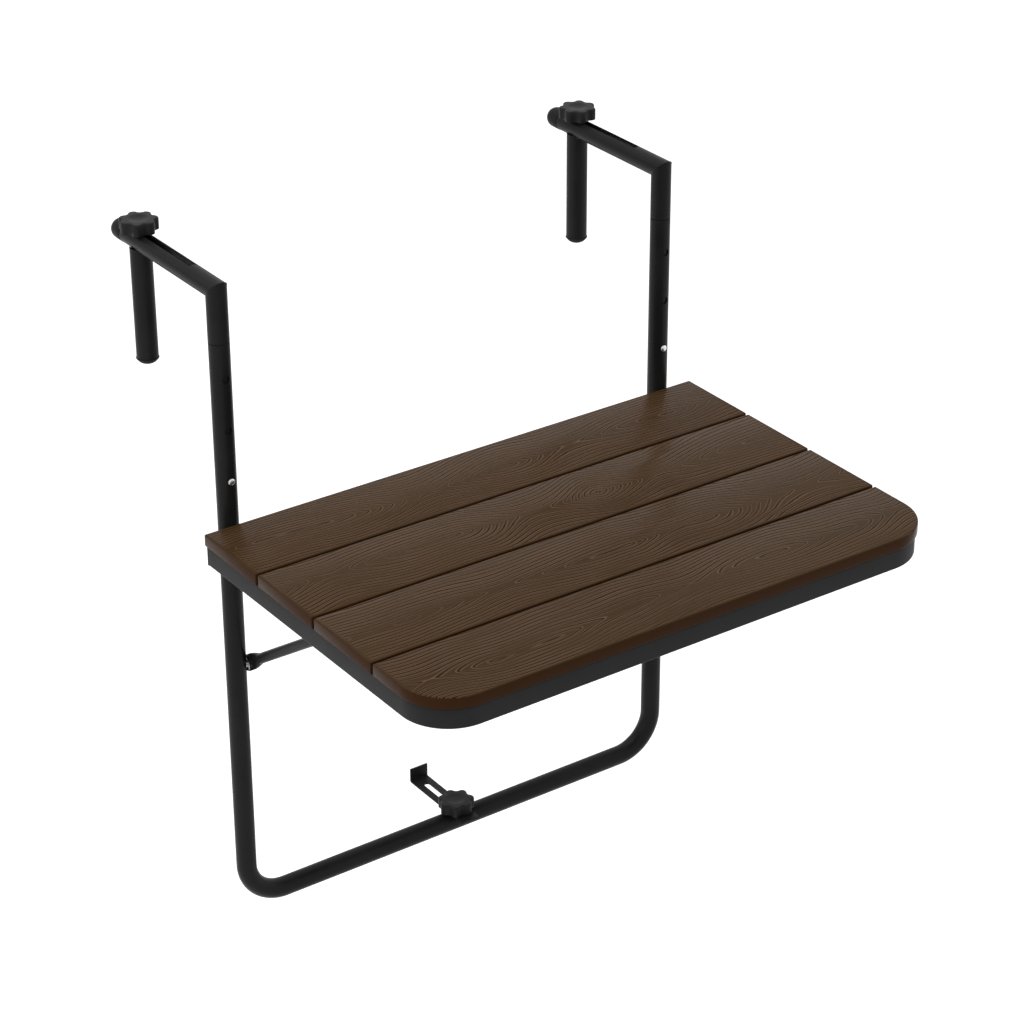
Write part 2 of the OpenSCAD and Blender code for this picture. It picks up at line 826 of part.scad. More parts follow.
// Hook in each bearer's channel: its front lip holds the cross tube from sliding forward
module brace_catches() {
    half = bearer_width / 2 - rim_wall - seat_gap;
    notch_r = brace_r + run_gap;
    front = cross_y - notch_r - catch_wall;
    rear = cross_y + notch_r + catch_wall;
    seat_z = under_z - rim_wall;
    color("#303133")
    difference() {
        both_sides() translate([bearer_spacing / 2, 0, 0])
            yz_profile(-half, half) difference() {
                union() {
                    translate([front, cross_z - catch_lip])
                        square([catch_wall + notch_r, seat_z - cross_z + catch_lip]);
                    translate([cross_y, cross_z]) square([rear - cross_y, seat_z - cross_z]);
                }
                translate([cross_y, cross_z]) circle(r = notch_r);
                translate([cross_y - notch_r, cross_z - catch_lip - over])
                    square([notch_r * 2, catch_lip + over]);
            }
        for (index = [0 : plank_count - 1]) screw_places(index)
            translate([0, 0, -rim_wall - screw_head_height - run_gap])
                cylinder(h = screw_head_height + run_gap + over,
                    r = screw_head_dia / 2 + run_gap);
    }
}

// Brace

// U-shaped path of the brace tube in its own plane, pivot at the origin
module brace_path(r, start) {
    reach = brace_length - brace_bend;
    both_sides() {
        translate([brace_leg_x, 0, 0]) y_bar(-reach, -start, r);
        translate([brace_leg_x - brace_bend, -reach, 0]) rotate([0, 0, -90])
            rotate_extrude(angle = 90) translate([brace_bend, 0]) circle(r = r);
    }
    translate([0, -brace_length, 0])
        x_bar(brace_bend - brace_leg_x, brace_leg_x - brace_bend, r);
}

module brace_frame() {
    neck = strap_flat + strap_taper;
    thin = strap_thick * thin_share;
    color("#232323")
    translate([0, upright_y, brace_pivot_z]) rotate([-brace_angle, 0, 0]) difference() {
        union() {
            brace_path(brace_r, neck);
            both_sides() {
                x_bar(strap_inner_x, strap_outer_x, strap_width / 2);
                span([strap_inner_x, -strap_flat, -strap_width / 2],
                    [strap_outer_x, 0, strap_width / 2]);
                hull() {
                    span([strap_inner_x, -strap_flat - thin, -strap_width / 2],
                        [strap_outer_x, -strap_flat, strap_width / 2]);
                    translate([brace_leg_x, 0, 0]) y_bar(-neck - thin, -neck, brace_r, $fn = 32);
                }
            }
        }
        brace_path(brace_r - brace_wall, neck);
        both_sides() x_bar(strap_inner_x - over, strap_outer_x + over, bolt_hole_r);
    }
}

// Lower bracket

module bracket() {
    outer_r = bracket_bend + bracket_thick;
    slot_front = bracket_front_y + bracket_slot_front + bracket_slot_r;
    slot_rear = bracket_reach - bracket_slot_rear - bracket_slot_r;
    color("#232323")
    difference() {
        yz_profile(-bracket_width / 2, bracket_width / 2) {
            translate([bracket_front_y, strip_z])
                square([bracket_reach - outer_r - bracket_front_y, bracket_thick]);
            translate([bracket_reach - bracket_thick, strip_z + outer_r])
                square([bracket_thick, flange_height - outer_r]);
            translate([bracket_reach - outer_r, strip_z + outer_r]) difference() {
                circle(r = outer_r);
                circle(r = bracket_bend);
                translate([-outer_r - over, 0]) square([(outer_r + over) * 2, outer_r + over]);
                translate([-outer_r - over, -outer_r - over])
                    square([outer_r + over, (outer_r + over) * 2]);
            }
        }
        translate([0, 0, strip_z - over]) {
            for (y = [slot_front, slot_rear]) translate([0, y, 0])
                cylinder(h = bracket_thick + over * 2, r = bracket_slot_r);
            translate([-bracket_slot_r, slot_front, 0])
                cube([bracket_slot_width, slot_rear - slot_front, bracket_thick + over * 2]);
        }
    }
}

module bracket_knob() {
    color("#3a3b3d")
    translate([0, upright_y, bracket_knob_z]) rotate(lower_knob_turn) star_knob();
}

module bracket_knob_insert() {
    color("#b59a55")
    translate([0, upright_y, bracket_knob_z]) knob_bush();
}

u_frame();
hinge_ear(-1);  // left_hinge_ear
hinge_ear(1);  // right_hinge_ear
hinge_bolts();
hinge_spacers();
hinge_nuts();
brace_bolts();
brace_washers();
brace_inserts();
bracket_stud();
hook(-1);  // left_hook
hook(1);  // right_hook
hook_insert(-1);  // left_hook_insert
hook_insert(1);  // right_hook_insert
arm_cap(-1);  // left_arm_cap
arm_cap(1);  // right_arm_cap
spring_clip(-1);  // left_spring_clip
spring_clip(1);  // right_spring_clip
snap_button(-1);  // left_snap_button
snap_button(1);  // right_snap_button
clamp_leg(-1);  // left_clamp_leg
clamp_leg(1);  // right_clamp_leg
leg_cap(-1);  // left_leg_cap
leg_cap(1);  // right_leg_cap
clamp_stud(-1);  // left_clamp_stud
clamp_stud(1);  // right_clamp_stud
clamp_knob(-1);  // left_clamp_knob
clamp_knob(1);  // right_clamp_knob
knob_insert(-1);  // left_knob_insert
knob_insert(1);  // right_knob_insert
plank(0);  // rear_plank
middle_planks();
plank(plank_count - 1);  // front_plank
table_rim();
rear_rail();
bearer(-1);  // left_bearer
bearer(1);  // right_bearer
rim_plugs();
plank_screws();
brace_catches();
brace_frame();
bracket();
bracket_knob();
bracket_knob_insert();
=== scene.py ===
"""Looks of a folding bar table that hangs on a balcony railing.

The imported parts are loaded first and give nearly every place. All lengths are in metres:
X runs along the railing, -Y points to the user and Z points up.
"""

import json
import logging
import math
from dataclasses import dataclass, field, replace
from enum import Enum
from functools import partialmethod, reduce

import bpy
import numpy as np
from mathutils import Matrix, Vector

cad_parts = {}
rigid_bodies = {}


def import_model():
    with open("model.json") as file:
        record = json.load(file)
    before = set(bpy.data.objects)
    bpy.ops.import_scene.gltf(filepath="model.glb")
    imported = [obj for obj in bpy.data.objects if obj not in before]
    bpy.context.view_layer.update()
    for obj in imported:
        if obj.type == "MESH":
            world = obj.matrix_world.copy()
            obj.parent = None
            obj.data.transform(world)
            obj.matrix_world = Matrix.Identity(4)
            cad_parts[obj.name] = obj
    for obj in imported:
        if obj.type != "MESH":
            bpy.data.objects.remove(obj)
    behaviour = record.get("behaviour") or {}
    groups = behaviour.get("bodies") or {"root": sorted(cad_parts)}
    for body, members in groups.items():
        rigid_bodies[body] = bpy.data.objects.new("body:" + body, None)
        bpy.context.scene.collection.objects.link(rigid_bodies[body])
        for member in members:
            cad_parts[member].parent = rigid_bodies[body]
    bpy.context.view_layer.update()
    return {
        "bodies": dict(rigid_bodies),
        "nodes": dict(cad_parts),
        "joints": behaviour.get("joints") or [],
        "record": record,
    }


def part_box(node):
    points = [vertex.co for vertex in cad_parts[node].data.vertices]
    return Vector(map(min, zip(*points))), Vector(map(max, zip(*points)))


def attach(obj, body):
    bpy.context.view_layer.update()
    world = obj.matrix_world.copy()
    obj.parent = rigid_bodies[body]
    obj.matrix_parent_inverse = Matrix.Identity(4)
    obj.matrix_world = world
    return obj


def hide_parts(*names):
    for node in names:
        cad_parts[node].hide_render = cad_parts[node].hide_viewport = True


LOG = logging.getLogger("railing_table")
MM = 0.001
TURN = 2 * math.pi

Point = tuple[float, float, float]
Span = tuple[float, float]
Socket = bpy.types.NodeSocket
Piece = bpy.types.Object

# Rounding of the plain tools that cut slots
TOOL_EDGE = 0.05 * MM
# Where a shell's own X, Y and Z point when its Z is laid along Y, or along X
ALONG_Y = ((1, 0, 0), (0, 0, 1), (0, 1, 0))
ALONG_X = ((0, 1, 0), (0, 0, 1), (1, 0, 0))


class Side(Enum):
    """The two ends of the table along the railing."""

    LEFT = -1
    RIGHT = 1

    def named(self, part: str) -> str:
        """Name of this side's node, body or piece."""
        return f"{self.name.lower()}_{part}"


class Slot(Enum):
    """The record's material slots."""

    TUBE = "black_tube"
    RIM = "dark_rim"
    STEEL = "bright_steel"
    SPRING = "spring_steel"
    BRASS = "brass_insert"
    KNOB = "knob_plastic"
    CAP = "cap_plastic"
    PLANK = "brown_plank"


# Surfaces


@dataclass
class Shell:
    """Points and faces of a surface, before it becomes a mesh."""

    points: np.ndarray
    quads: np.ndarray = field(default_factory=lambda: np.zeros((0, 4), int))
    tris: np.ndarray = field(default_factory=lambda: np.zeros((0, 3), int))
    plates: list[np.ndarray] = field(default_factory=list)

    def outward(self) -> "Shell":
        """Turns a closed surface so that its faces point outwards.

        The signed volume is the sum, over a fan of triangles, of a . (b x c) / 6.

        Returns:
            This shell, with its faces reversed where that volume was below zero.
        """
        fans = [self.tris, self.quads[:, [0, 1, 2]], self.quads[:, [0, 2, 3]]]
        fans += [np.stack([np.full(len(plate) - 2, plate[0]), plate[1:-1], plate[2:]], 1)
                 for plate in self.plates]
        a, b, c = (self.points[np.concatenate(fans)[:, k]] for k in range(3))
        if np.einsum("ij,ij->i", a, np.cross(b, c)).sum() < 0:
            self.quads, self.tris = self.quads[:, ::-1], self.tris[:, ::-1]
            self.plates = [plate[::-1] for plate in self.plates]
        return self

    def moved(self, x: float = 0.0, y: float = 0.0, z: float = 0.0) -> "Shell":
        """A copy that is shifted."""
        return replace(self, points=self.points + (x, y, z))

    def turned(self, columns: tuple[tuple[float, ...], ...]) -> "Shell":
        """A copy in other axes: a point is x * column 0 + y * column 1 + z * column 2."""
        return replace(self, points=self.points @ np.asarray(columns, float)).outward()


def joined(shells: list[Shell]) -> Shell:
    """Puts several shells into one.

    Args:
        shells: the shells, each with its own point numbers.

    Returns:
        One shell, in which each shell's numbers start after those of the last.
    """
    starts = np.cumsum([0] + [len(s.points) for s in shells[:-1]])
    return Shell(
        np.concatenate([s.points for s in shells]),
        np.concatenate([s.quads + n for s, n in zip(shells, starts)]),
        np.concatenate([s.tris + n for s, n in zip(shells, starts)]),
        [plate + n for s, n in zip(shells, starts) for plate in s.plates],
    )


def lattice(rows: int, cols: int, close_rows: bool) -> np.ndarray:
    """Faces between closed rings of points.

    A face joins (i, j), (i, j+1), (i+1, j+1) and (i+1, j), counted round where the grid closes.

    Args:
        rows: number of rings.
        cols: number of points in a ring.
        close_rows: the last ring joins the first.

    Returns:
        The point numbers of the faces, four in a row.
    """
    i, j = np.meshgrid(np.arange(rows if close_rows else rows - 1), np.arange(cols), indexing="ij")
    i, j = i.ravel(), j.ravel()
    below, beside = (i + 1) % rows, (j + 1) % cols
    return np.stack([i * cols + j, i * cols + beside, below * cols + beside, below * cols + j], 1)


def skin(grid: np.ndarray, close_rows: bool = False, ends: str = "plate") -> Shell:
    """Closed surface over rings of points.

    Args:
        grid: ring, point in the ring and coordinate. Every ring is closed.
        close_rows: the last ring joins the first, as on a hollow tube.
        ends: "plate" closes the first and last ring with one flat face, and
            "pole" with a fan to its middle.

    Returns:
        The surface, with its faces outwards.
    """
    rows, cols = grid.shape[:2]
    points = grid.reshape(-1, 3)
    quads = lattice(rows, cols, close_rows)
    if close_rows:
        return Shell(points, quads).outward()
    first, last = np.arange(cols), np.arange(cols) + (rows - 1) * cols
    if ends == "plate":
        return Shell(points, quads, plates=[first[::-1], last]).outward()
    poles = np.stack([grid[0].mean(0), grid[-1].mean(0)])
    count = len(points)
    tris = np.concatenate([
        np.stack([np.full(cols, count), np.roll(first, -1), first], 1),
        np.stack([np.full(cols, count + 1), last, np.roll(last, -1)], 1),
    ])
    return Shell(np.concatenate([points, poles]), quads, tris).outward()


def unit(vectors: np.ndarray) -> np.ndarray:
    """The vectors brought to length 1: v / |v|."""
    return vectors / np.linalg.norm(vectors, axis=-1, keepdims=True)


def quarter(steps: int) -> np.ndarray:
    """Angles from 0 to a quarter turn in even steps."""
    return np.linspace(0, TURN / 4, steps + 1)


def circle(radius: float, count: int = 64) -> np.ndarray:
    """Outline of a circle: (r cos t, r sin t) for t over one turn."""
    t = np.arange(count) * TURN / count
    return np.stack([np.cos(t), np.sin(t)], 1) * radius


def round_box(width: float, height: float, radius: float, arc: int = 6) -> np.ndarray:
    """Outline of a rectangle with rounded corners.

    Each corner is a quarter circle about a point that lies radius inside both sides.

    Args:
        width: size across.
        height: size up.
        radius: radius of the corners.
        arc: steps in a corner.

    Returns:
        The outline's points, anticlockwise.
    """
    turns = quarter(arc)[None, :] + (np.arange(4) * TURN / 4)[:, None]
    centre = np.array([[1, 1], [-1, 1], [-1, -1], [1, -1]]) * (
        np.array([width, height]) / 2 - radius)
    arcs = centre[:, None, :] + radius * np.stack([np.cos(turns), np.sin(turns)], 2)
    return arcs.reshape(-1, 2)


def bent_path(corners: list[Point], radius: float, step: float) -> np.ndarray:
    """Path of straight runs joined by circular bends.

    A bend of radius r and turning angle a starts and ends r tan(a / 2) from its
    corner, and its points are centre + r (cos, sin) of the angle swept so far.

    Args:
        corners: the ends of the path and the corners between them.
        radius: radius of the bends.
        step: largest angle in degrees between two points of a bend.

    Returns:
        The path's points.
    """
    spots = np.asarray(corners, float)
    runs = [spots[:1]]
    for corner in range(1, len(spots) - 1):
        back = unit(spots[corner - 1] - spots[corner])
        ahead = unit(spots[corner + 1] - spots[corner])
        turn = math.pi - math.acos(float(np.clip(back @ ahead, -1, 1)))
        start = spots[corner] + back * radius * math.tan(turn / 2)
        inward = unit(ahead + back * math.cos(turn))
        count = max(2, math.ceil(turn / math.radians(step)) + 1)
        swept = np.linspace(0, turn, count)[:, None]
        runs.append(start + radius * (inward * (1 - np.cos(swept)) - back * np.sin(swept)))
    return np.concatenate([*runs, spots[-1:]])


def mitres(line: np.ndarray) -> tuple[np.ndarray, np.ndarray]:
    """Direction of an open line at each point, and how much a mitre narrows there.

    The direction is the mean of the two neighbouring runs'. A section across it keeps
    its size when it is divided by the cosine of half the turn, held at 0.3 or more.

    Args:
        line: the line's points.

    Returns:
        The directions, and the cosines in a column.
    """
    runs = unit(np.diff(line, axis=0))
    mean = unit(np.concatenate([runs[:1], runs[:-1] + runs[1:], runs[-1:]]))
    cosine = np.einsum("ij,ij->i", mean, np.concatenate([runs, runs[-1:]]))
    return mean, np.clip(cosine, 0.3, 1)[:, None]


def path_frames(path: np.ndarray, normal: Point) -> tuple[np.ndarray, np.ndarray]:
    """Cross directions along a flat path.

    Args:
        path: the path's points.
        normal: normal of the plane that the path lies in.

    Returns:
        At each point normal x tangent, widened for the mitre, and the plane's normal.
    """
    mean, cosine = mitres(path)
    along = np.asarray(normal, float)
    return np.cross(along, mean) / cosine, along


def rings(path: np.ndarray, side: np.ndarray, along: np.ndarray, outline: np.ndarray) -> np.ndarray:
    """Points path + side * u + along * v, for the (u, v) of one outline or one a path point."""
    return path[:, None] + side[:, None] * outline[..., :1] + along * outline[..., 1:]


def sweep(path: np.ndarray, outline: np.ndarray, normal: Point, ends: str = "plate") -> Shell:
    """Section carried along a flat path, as rings() says.

    Args:
        path: the path's points.
        outline: one section for the whole path, or one for each of its points.
        normal: normal of the plane that the path lies in.
        ends: how the ends are closed.

    Returns:
        The surface.
    """
    return skin(rings(path, *path_frames(path, normal), outline), ends=ends)


def pipe(path: np.ndarray, outer: np.ndarray, inner: np.ndarray, normal: Point,
         lip: float = 0.25 * MM) -> Shell:
    """Hollow section carried along a flat path, with softened end rims.

    The rings run out along the outer wall and back along the inner wall, and the
    first and last outer ring are drawn in by the lip.

    Args:
        path: the path's points.
        outer: outer outline.
        inner: inner outline, with as many points.
        normal: normal of the plane that the path lies in.
        lip: size of the softened rim.

    Returns:
        The surface.
    """
    side, along = path_frames(path, normal)
    inset = outer * (1 - lip / np.abs(outer).max())
    body = path.copy()
    body[0] += unit(path[1] - path[0]) * lip
    body[-1] += unit(path[-2] - path[-1]) * lip
    parts = [(path[:1], side[:1], inset), (body, side, outer),
             (path[-1:], side[-1:], inset), (path[::-1], side[::-1], inner)]
    return skin(np.concatenate([rings(line, cross, along, outline)
                                for line, cross, outline in parts]), close_rows=True)


def spun(radii: np.ndarray, heights: np.ndarray, sides: int) -> np.ndarray:
    """Rings about Z: (r cos t, r sin t, z) for t over one turn.

    Args:
        radii: r by ring, or by ring and direction.
        heights: z by ring, or by ring and direction.
        sides: number of directions.

    Returns:
        Ring, point in the ring and coordinate.
    """
    shape = (len(heights), sides)
    r, z = (np.broadcast_to(part, shape)[:, :, None] for part in (radii, heights))
    return np.concatenate([circle(1.0, sides) * r, z], 2)


def turned_body(profile: np.ndarray, sides: int = 48, ends: str = "pole",
                ring: bool = False) -> Shell:
    """Body of revolution about Z.

    Args:
        profile: radius and height of each ring, from one end to the other.
        sides: points in a ring.
        ends: how the ends are closed.
        ring: the last ring joins the first, as on a washer.

    Returns:
        The surface.
    """
    return skin(spun(profile[:, :1], profile[:, 1:], sides), ring, ends)


def slab(outline: np.ndarray, low: float, high: float, edge: float, steps: int = 4) -> Shell:
    """Flat board with rounded edges.

    The outline moves in along its own normals by edge (1 - sin a) while the height
    goes from low + edge (1 - cos a), and the same is mirrored at the top.

    Args:
        outline: plan of the board, anticlockwise.
        low: height of the underside.
        high: height of the upper face.
        edge: radius of the edges.
        steps: steps in an edge.

    Returns:
        The surface.
    """
    runs = unit(np.roll(outline, -1, 0) - outline)
    sides = np.stack([runs[:, 1], -runs[:, 0]], 1)
    out = sides + np.roll(sides, 1, 0)
    out /= np.einsum("ij,ij->i", out, sides)[:, None]
    inset, rise = edge * (1 - np.sin(quarter(steps))), edge * (1 - np.cos(quarter(steps)))
    flat = outline[None] - out[None] * np.concatenate([inset, inset[::-1]])[:, None, None]
    height = np.concatenate([low + rise, high - rise[::-1]])[:, None, None]
    return skin(np.concatenate([flat, np.broadcast_to(height, (*flat.shape[:2], 1))], 2))


def strip_section(centre: np.ndarray, half: float) -> np.ndarray:
    """Closed outline round an open line: the line moved half a thickness to each side.

    Args:
        centre: the line's points.
        half: half the thickness.

    Returns:
        The outline's points, out along one side and back along the other.
    """
    mean, cosine = mitres(centre)
    out = np.stack([mean[:, 1], -mean[:, 0]], 1) / cosine * half
    return np.concatenate([centre + out, (centre - out)[::-1]])


def rod(start: Point, end: Point, radius: float) -> Shell:
    """Plain round rod, used to cut holes.

    Args:
        start: middle of one end.
        end: middle of the other end.
        radius: its radius.

    Returns:
        The surface.
    """
    line = np.array([start, end], float)
    upright = abs(line[1, 2] - line[0, 2]) >= 0.5 * np.linalg.norm(line[1] - line[0])
    return sweep(line, circle(radius, 40), (1, 0, 0) if upright else (0, 0, 1))


def thread(low: float, high: float, radius: float = 3 * MM, pitch: float = 1 * MM) -> Shell:
    """Threaded rod about Z.

    Its radius is the full one less the thread's depth times a triangle wave of
    z / pitch - angle / turn, and the depth doubles over the run-out at the top.

    Args:
        low: lower end.
        high: upper end.
        radius: full radius.
        pitch: rise of one turn.

    Returns:
        The surface.
    """
    sides, run_out, share = 24, 0.6 * MM, 0.3
    heights = np.append(np.arange(low, high, pitch / 6), high)[:, None]
    phase = (heights / pitch - np.arange(sides) / sides) % 1
    depth = share * pitch * (1 + np.clip((heights - high + run_out) / run_out, 0, 2))
    return skin(spun(radius - depth * np.abs(2 * phase - 1), heights, sides))


def stud(head: tuple[Span, ...], sides: int, span: Span,
         sunk: float) -> Shell:
    """Threaded stud on its flat round head.

    Args:
        head: radius and height in millimetres of the head's rings, from below.
        sides: points in a ring of the head.
        span: lowest and highest height.
        sunk: how far the thread starts below the head's upper face.

    Returns:
        The surface, about Z.
    """
    disc = turned_body(np.array(head) * MM, sides, "plate").moved(z=span[0])
    return joined([disc, thread(span[0] + head[-1][1] * MM - sunk, span[1])])


# Materials


@dataclass
class Graph:
    """Node tree of a material or of the world, with short ways to add to it."""

    owner: bpy.types.ID

    def __post_init__(self) -> None:
        """Switches the nodes on."""
        self.owner.use_nodes = True

    @classmethod
    def named(cls, name: str) -> "Graph":
        """Makes a material with a plain Principled shader."""
        return cls(bpy.data.materials.new(name))

    def node(self, kind: str, inputs: dict[object, object] | None = None,
             **settings: object) -> bpy.types.Node:
        """Adds a node.

        Args:
            kind: the node's type.
            inputs: what its sockets read, by name or number.
            settings: the node's own settings.

        Returns:
            The node.
        """
        made = self.owner.node_tree.nodes.new(kind)
        for key, value in settings.items():
            setattr(made, key, value)
        for key, source in (inputs or {}).items():
            self.join(source, made.inputs[key])
        return made

    def join(self, source: object, target: Socket) -> None:
        """Links a socket to a socket, or writes a number or colour on it.

        Args:
            source: a socket, number, colour or vector.
            target: the socket that reads it.
        """
        if isinstance(source, Socket):
            self.owner.node_tree.links.new(source, target)
        else:
            target.default_value = source

    def maths(self, what: str, *terms: object) -> Socket:
        """Adds one step of arithmetic and returns its result."""
        return self.node("ShaderNodeMath", dict(enumerate(terms)), operation=what).outputs[0]

    # a - b, a / b, a to the power b, the larger of a and b, and a without its sign
    minus = partialmethod(maths, "SUBTRACT")
    over = partialmethod(maths, "DIVIDE")
    power = partialmethod(maths, "POWER")
    larger = partialmethod(maths, "MAXIMUM")
    size = partialmethod(maths, "ABSOLUTE")

    def plus(self, *terms: object) -> Socket:
        """Sum of the terms."""
        return reduce(lambda a, b: self.maths("ADD", a, b), terms)

    def times(self, *terms: object) -> Socket:
        """Product of the terms."""
        return reduce(lambda a, b: self.maths("MULTIPLY", a, b), terms)

    def place(self, scale: Point = (1, 1, 1), along: float = 0.0) -> Socket:
        """The object's own coordinates in metres, moved along x and then scaled.

        Args:
            scale: factor on each axis.
            along: shift along x in metres.

        Returns:
            The coordinates.
        """
        spot = self.node("ShaderNodeTexCoord").outputs["Object"]
        if scale == (1, 1, 1):
            return spot
        inputs = {"Vector": spot, "Location": (along * scale[0], 0, 0), "Scale": scale}
        return self.node("ShaderNodeMapping", inputs).outputs["Vector"]

    def noise(self, scale: float | Point, detail: float = 2, rough: float = 0.5,
              seed: object = None, along: float = 0.0) -> Socket:
        """Adds soft noise.

        Args:
            scale: patches per metre, alike in all directions or for each axis.
            detail: number of finer layers.
            rough: share of each finer layer.
            seed: moves to another stretch of the noise.
            along: shift along x in metres.

        Returns:
            Its value, about 0.5.
        """
        each = isinstance(scale, tuple)
        inputs = {"Vector": self.place(scale, along) if each else self.place(),
                  "Scale": 1.0 if each else scale, "Detail": detail, "Roughness": rough}
        if seed is not None:
            inputs["W"] = seed
        return self.node("ShaderNodeTexNoise", inputs,
                         noise_dimensions="3D" if seed is None else "4D").outputs["Fac"]

    def spread(self, value: object, low: float, high: float, to_low: float = 0.0,
               to_high: float = 1.0) -> Socket:
        """Maps one range of values softly on another one.

        Args:
            value: what is mapped.
            low: start of its range.
            high: end of its range, which may lie below the start.
            to_low: result at the start and before it.
            to_high: result at the end and past it.

        Returns:
            The result.
        """
        inputs = {"Value": value, "From Min": low, "From Max": high, "To Min": to_low,
                  "To Max": to_high}
        return self.node("ShaderNodeMapRange", inputs,
                         interpolation_type="SMOOTHSTEP").outputs["Result"]

    def blend(self, share: object, first: object, second: object) -> Socket:
        """Mixes two colours."""
        inputs = {0: share, 6: first, 7: second}
        return self.node("ShaderNodeMix", inputs, data_type="RGBA").outputs[2]

    def seen(self) -> Socket:
        """Tells what is seen from what only gives light.

        Returns:
            1 for what the camera, a mirror or a clear piece shows, and 0 for light.
        """
        path = self.node("ShaderNodeLightPath").outputs
        shown = self.larger(path["Is Camera Ray"], path["Is Glossy Ray"])
        return self.larger(shown, path["Is Transmission Ray"])

    def coat(self, base: Socket, rough: Socket, height: Socket, depth: float,
             **fixed: object) -> bpy.types.Material:
        """Connects the shader.

        Args:
            base: its colour.
            rough: its roughness.
            height: the relief, from 0 to 1.
            depth: the relief's depth in metres.
            fixed: constants on its other sockets, by names with underscores.

        Returns:
            The material.
        """
        bump = self.node("ShaderNodeBump", {"Height": height, "Distance": depth, "Strength": 1.0})
        sockets = {"Base Color": base, "Roughness": rough, "Normal": bump.outputs["Normal"]}
        sockets |= {key.replace("_", " "): value for key, value in fixed.items()}
        for key, source in sockets.items():
            self.join(source, self.owner.node_tree.nodes["Principled BSDF"].inputs[key])
        return self.owner


def shade(hexcode: str, gain: float = 1.0) -> tuple[float, float, float, float]:
    """Linear colour of a screen colour.

    A channel c goes to c / 12.92 below 0.04045 and to ((c + 0.055) / 1.055) ** 2.4 above.

    Args:
        hexcode: six hexadecimal digits.
        gain: factor on the linear colour.

    Returns:
        Red, green, blue and 1.
    """
    c = np.array([int(hexcode[k:k + 2], 16) for k in (0, 2, 4)]) / 255
    c = np.where(c < 0.04045, c / 12.92, ((c + 0.055) / 1.055) ** 2.4) * gain
    return (*c.tolist(), 1.0)


@dataclass(frozen=True)
class PowderCoat:
    """Black paint baked on steel: fine orange peel and a slight drift of its gloss."""

    name: str
    tint: str
    tint_rubbed_and_highlight: str
    rough: float = 0.4
    peel: float = 0.05 * MM
    shine: float = 0.09
    patches: float = 18
    grains: float = 900
    tint_range: Span = (0.35, 0.7)
    rough_range: Span = (0.3, 0.7)
    rough_drift: Span = (-0.05, 0.06)

    def build(self) -> bpy.types.Material:
        """Mixes two tints and shifts the gloss by one noise, over the peel's relief.

        Returns:
            The material.
        """
        g = Graph.named(self.name)
        drift = g.noise(self.patches, 3)
        rough = (self.rough + part for part in self.rough_drift)
        return g.coat(
            g.blend(g.spread(drift, *self.tint_range), shade(self.tint), shade(self.tint_rubbed_and_highlight)),
            g.spread(drift, *self.rough_range, *rough),
            g.noise(self.grains), self.peel, Specular_IOR_Level=self.shine)


@dataclass(frozen=True)
class MouldedPlastic:
    """Dark plastic with the fine matt sparkle of an eroded mould."""

    name: str
    tint: str
    rough: float = 0.38
    sparkle: float = 0.03 * MM
    shine: float = 0.07
    patches: float = 60
    grains: float = 2600
    grain_rough: float = 0.6
    lighter: float = 1.25
    tint_range: Span = (0.35, 0.65)
    rough_range: Span = (0.3, 0.7)
    rough_drift: Span = (-0.04, 0.06)

    def build(self) -> bpy.types.Material:
        """Mixes the tint with a lighter one, over the sparkle's fine relief.

        Returns:
            The material.
        """
        g = Graph.named(self.name)
        drift = g.noise(self.patches)
        rough = (self.rough + part for part in self.rough_drift)
        lighter = shade(self.tint, self.lighter)
        return g.coat(
            g.blend(g.spread(drift, *self.tint_range), shade(self.tint), lighter),
            g.spread(drift, *self.rough_range, *rough),
            g.noise(self.grains, rough=self.grain_rough), self.sparkle,
            Specular_IOR_Level=self.shine)


@dataclass(frozen=True)
class PlainMetal:
    """Bare metal with fine turning marks and a little tarnish."""

    name: str
    tint: str
    tint_dull: str
    rough: float = 0.24
    marks: float = 0.01 * MM
    patches: float = 240
    lines: Point = (300, 300, 2600)
    tint_range: Span = (0.45, 0.75)
    rough_range: Span = (0.3, 0.8)
    tarnish: float = 0.18

    def build(self) -> bpy.types.Material:
        """Dulls the metal in patches, over the relief of the turning marks.

        Returns:
            The material.
        """
        g = Graph.named(self.name)
        dull = g.noise(self.patches, 3)
        return g.coat(
            g.blend(g.spread(dull, *self.tint_range), shade(self.tint), shade(self.tint_dull)),
            g.spread(dull, *self.rough_range, self.rough, self.rough + self.tarnish),
            g.noise(self.lines), self.marks, Metallic=1.0)


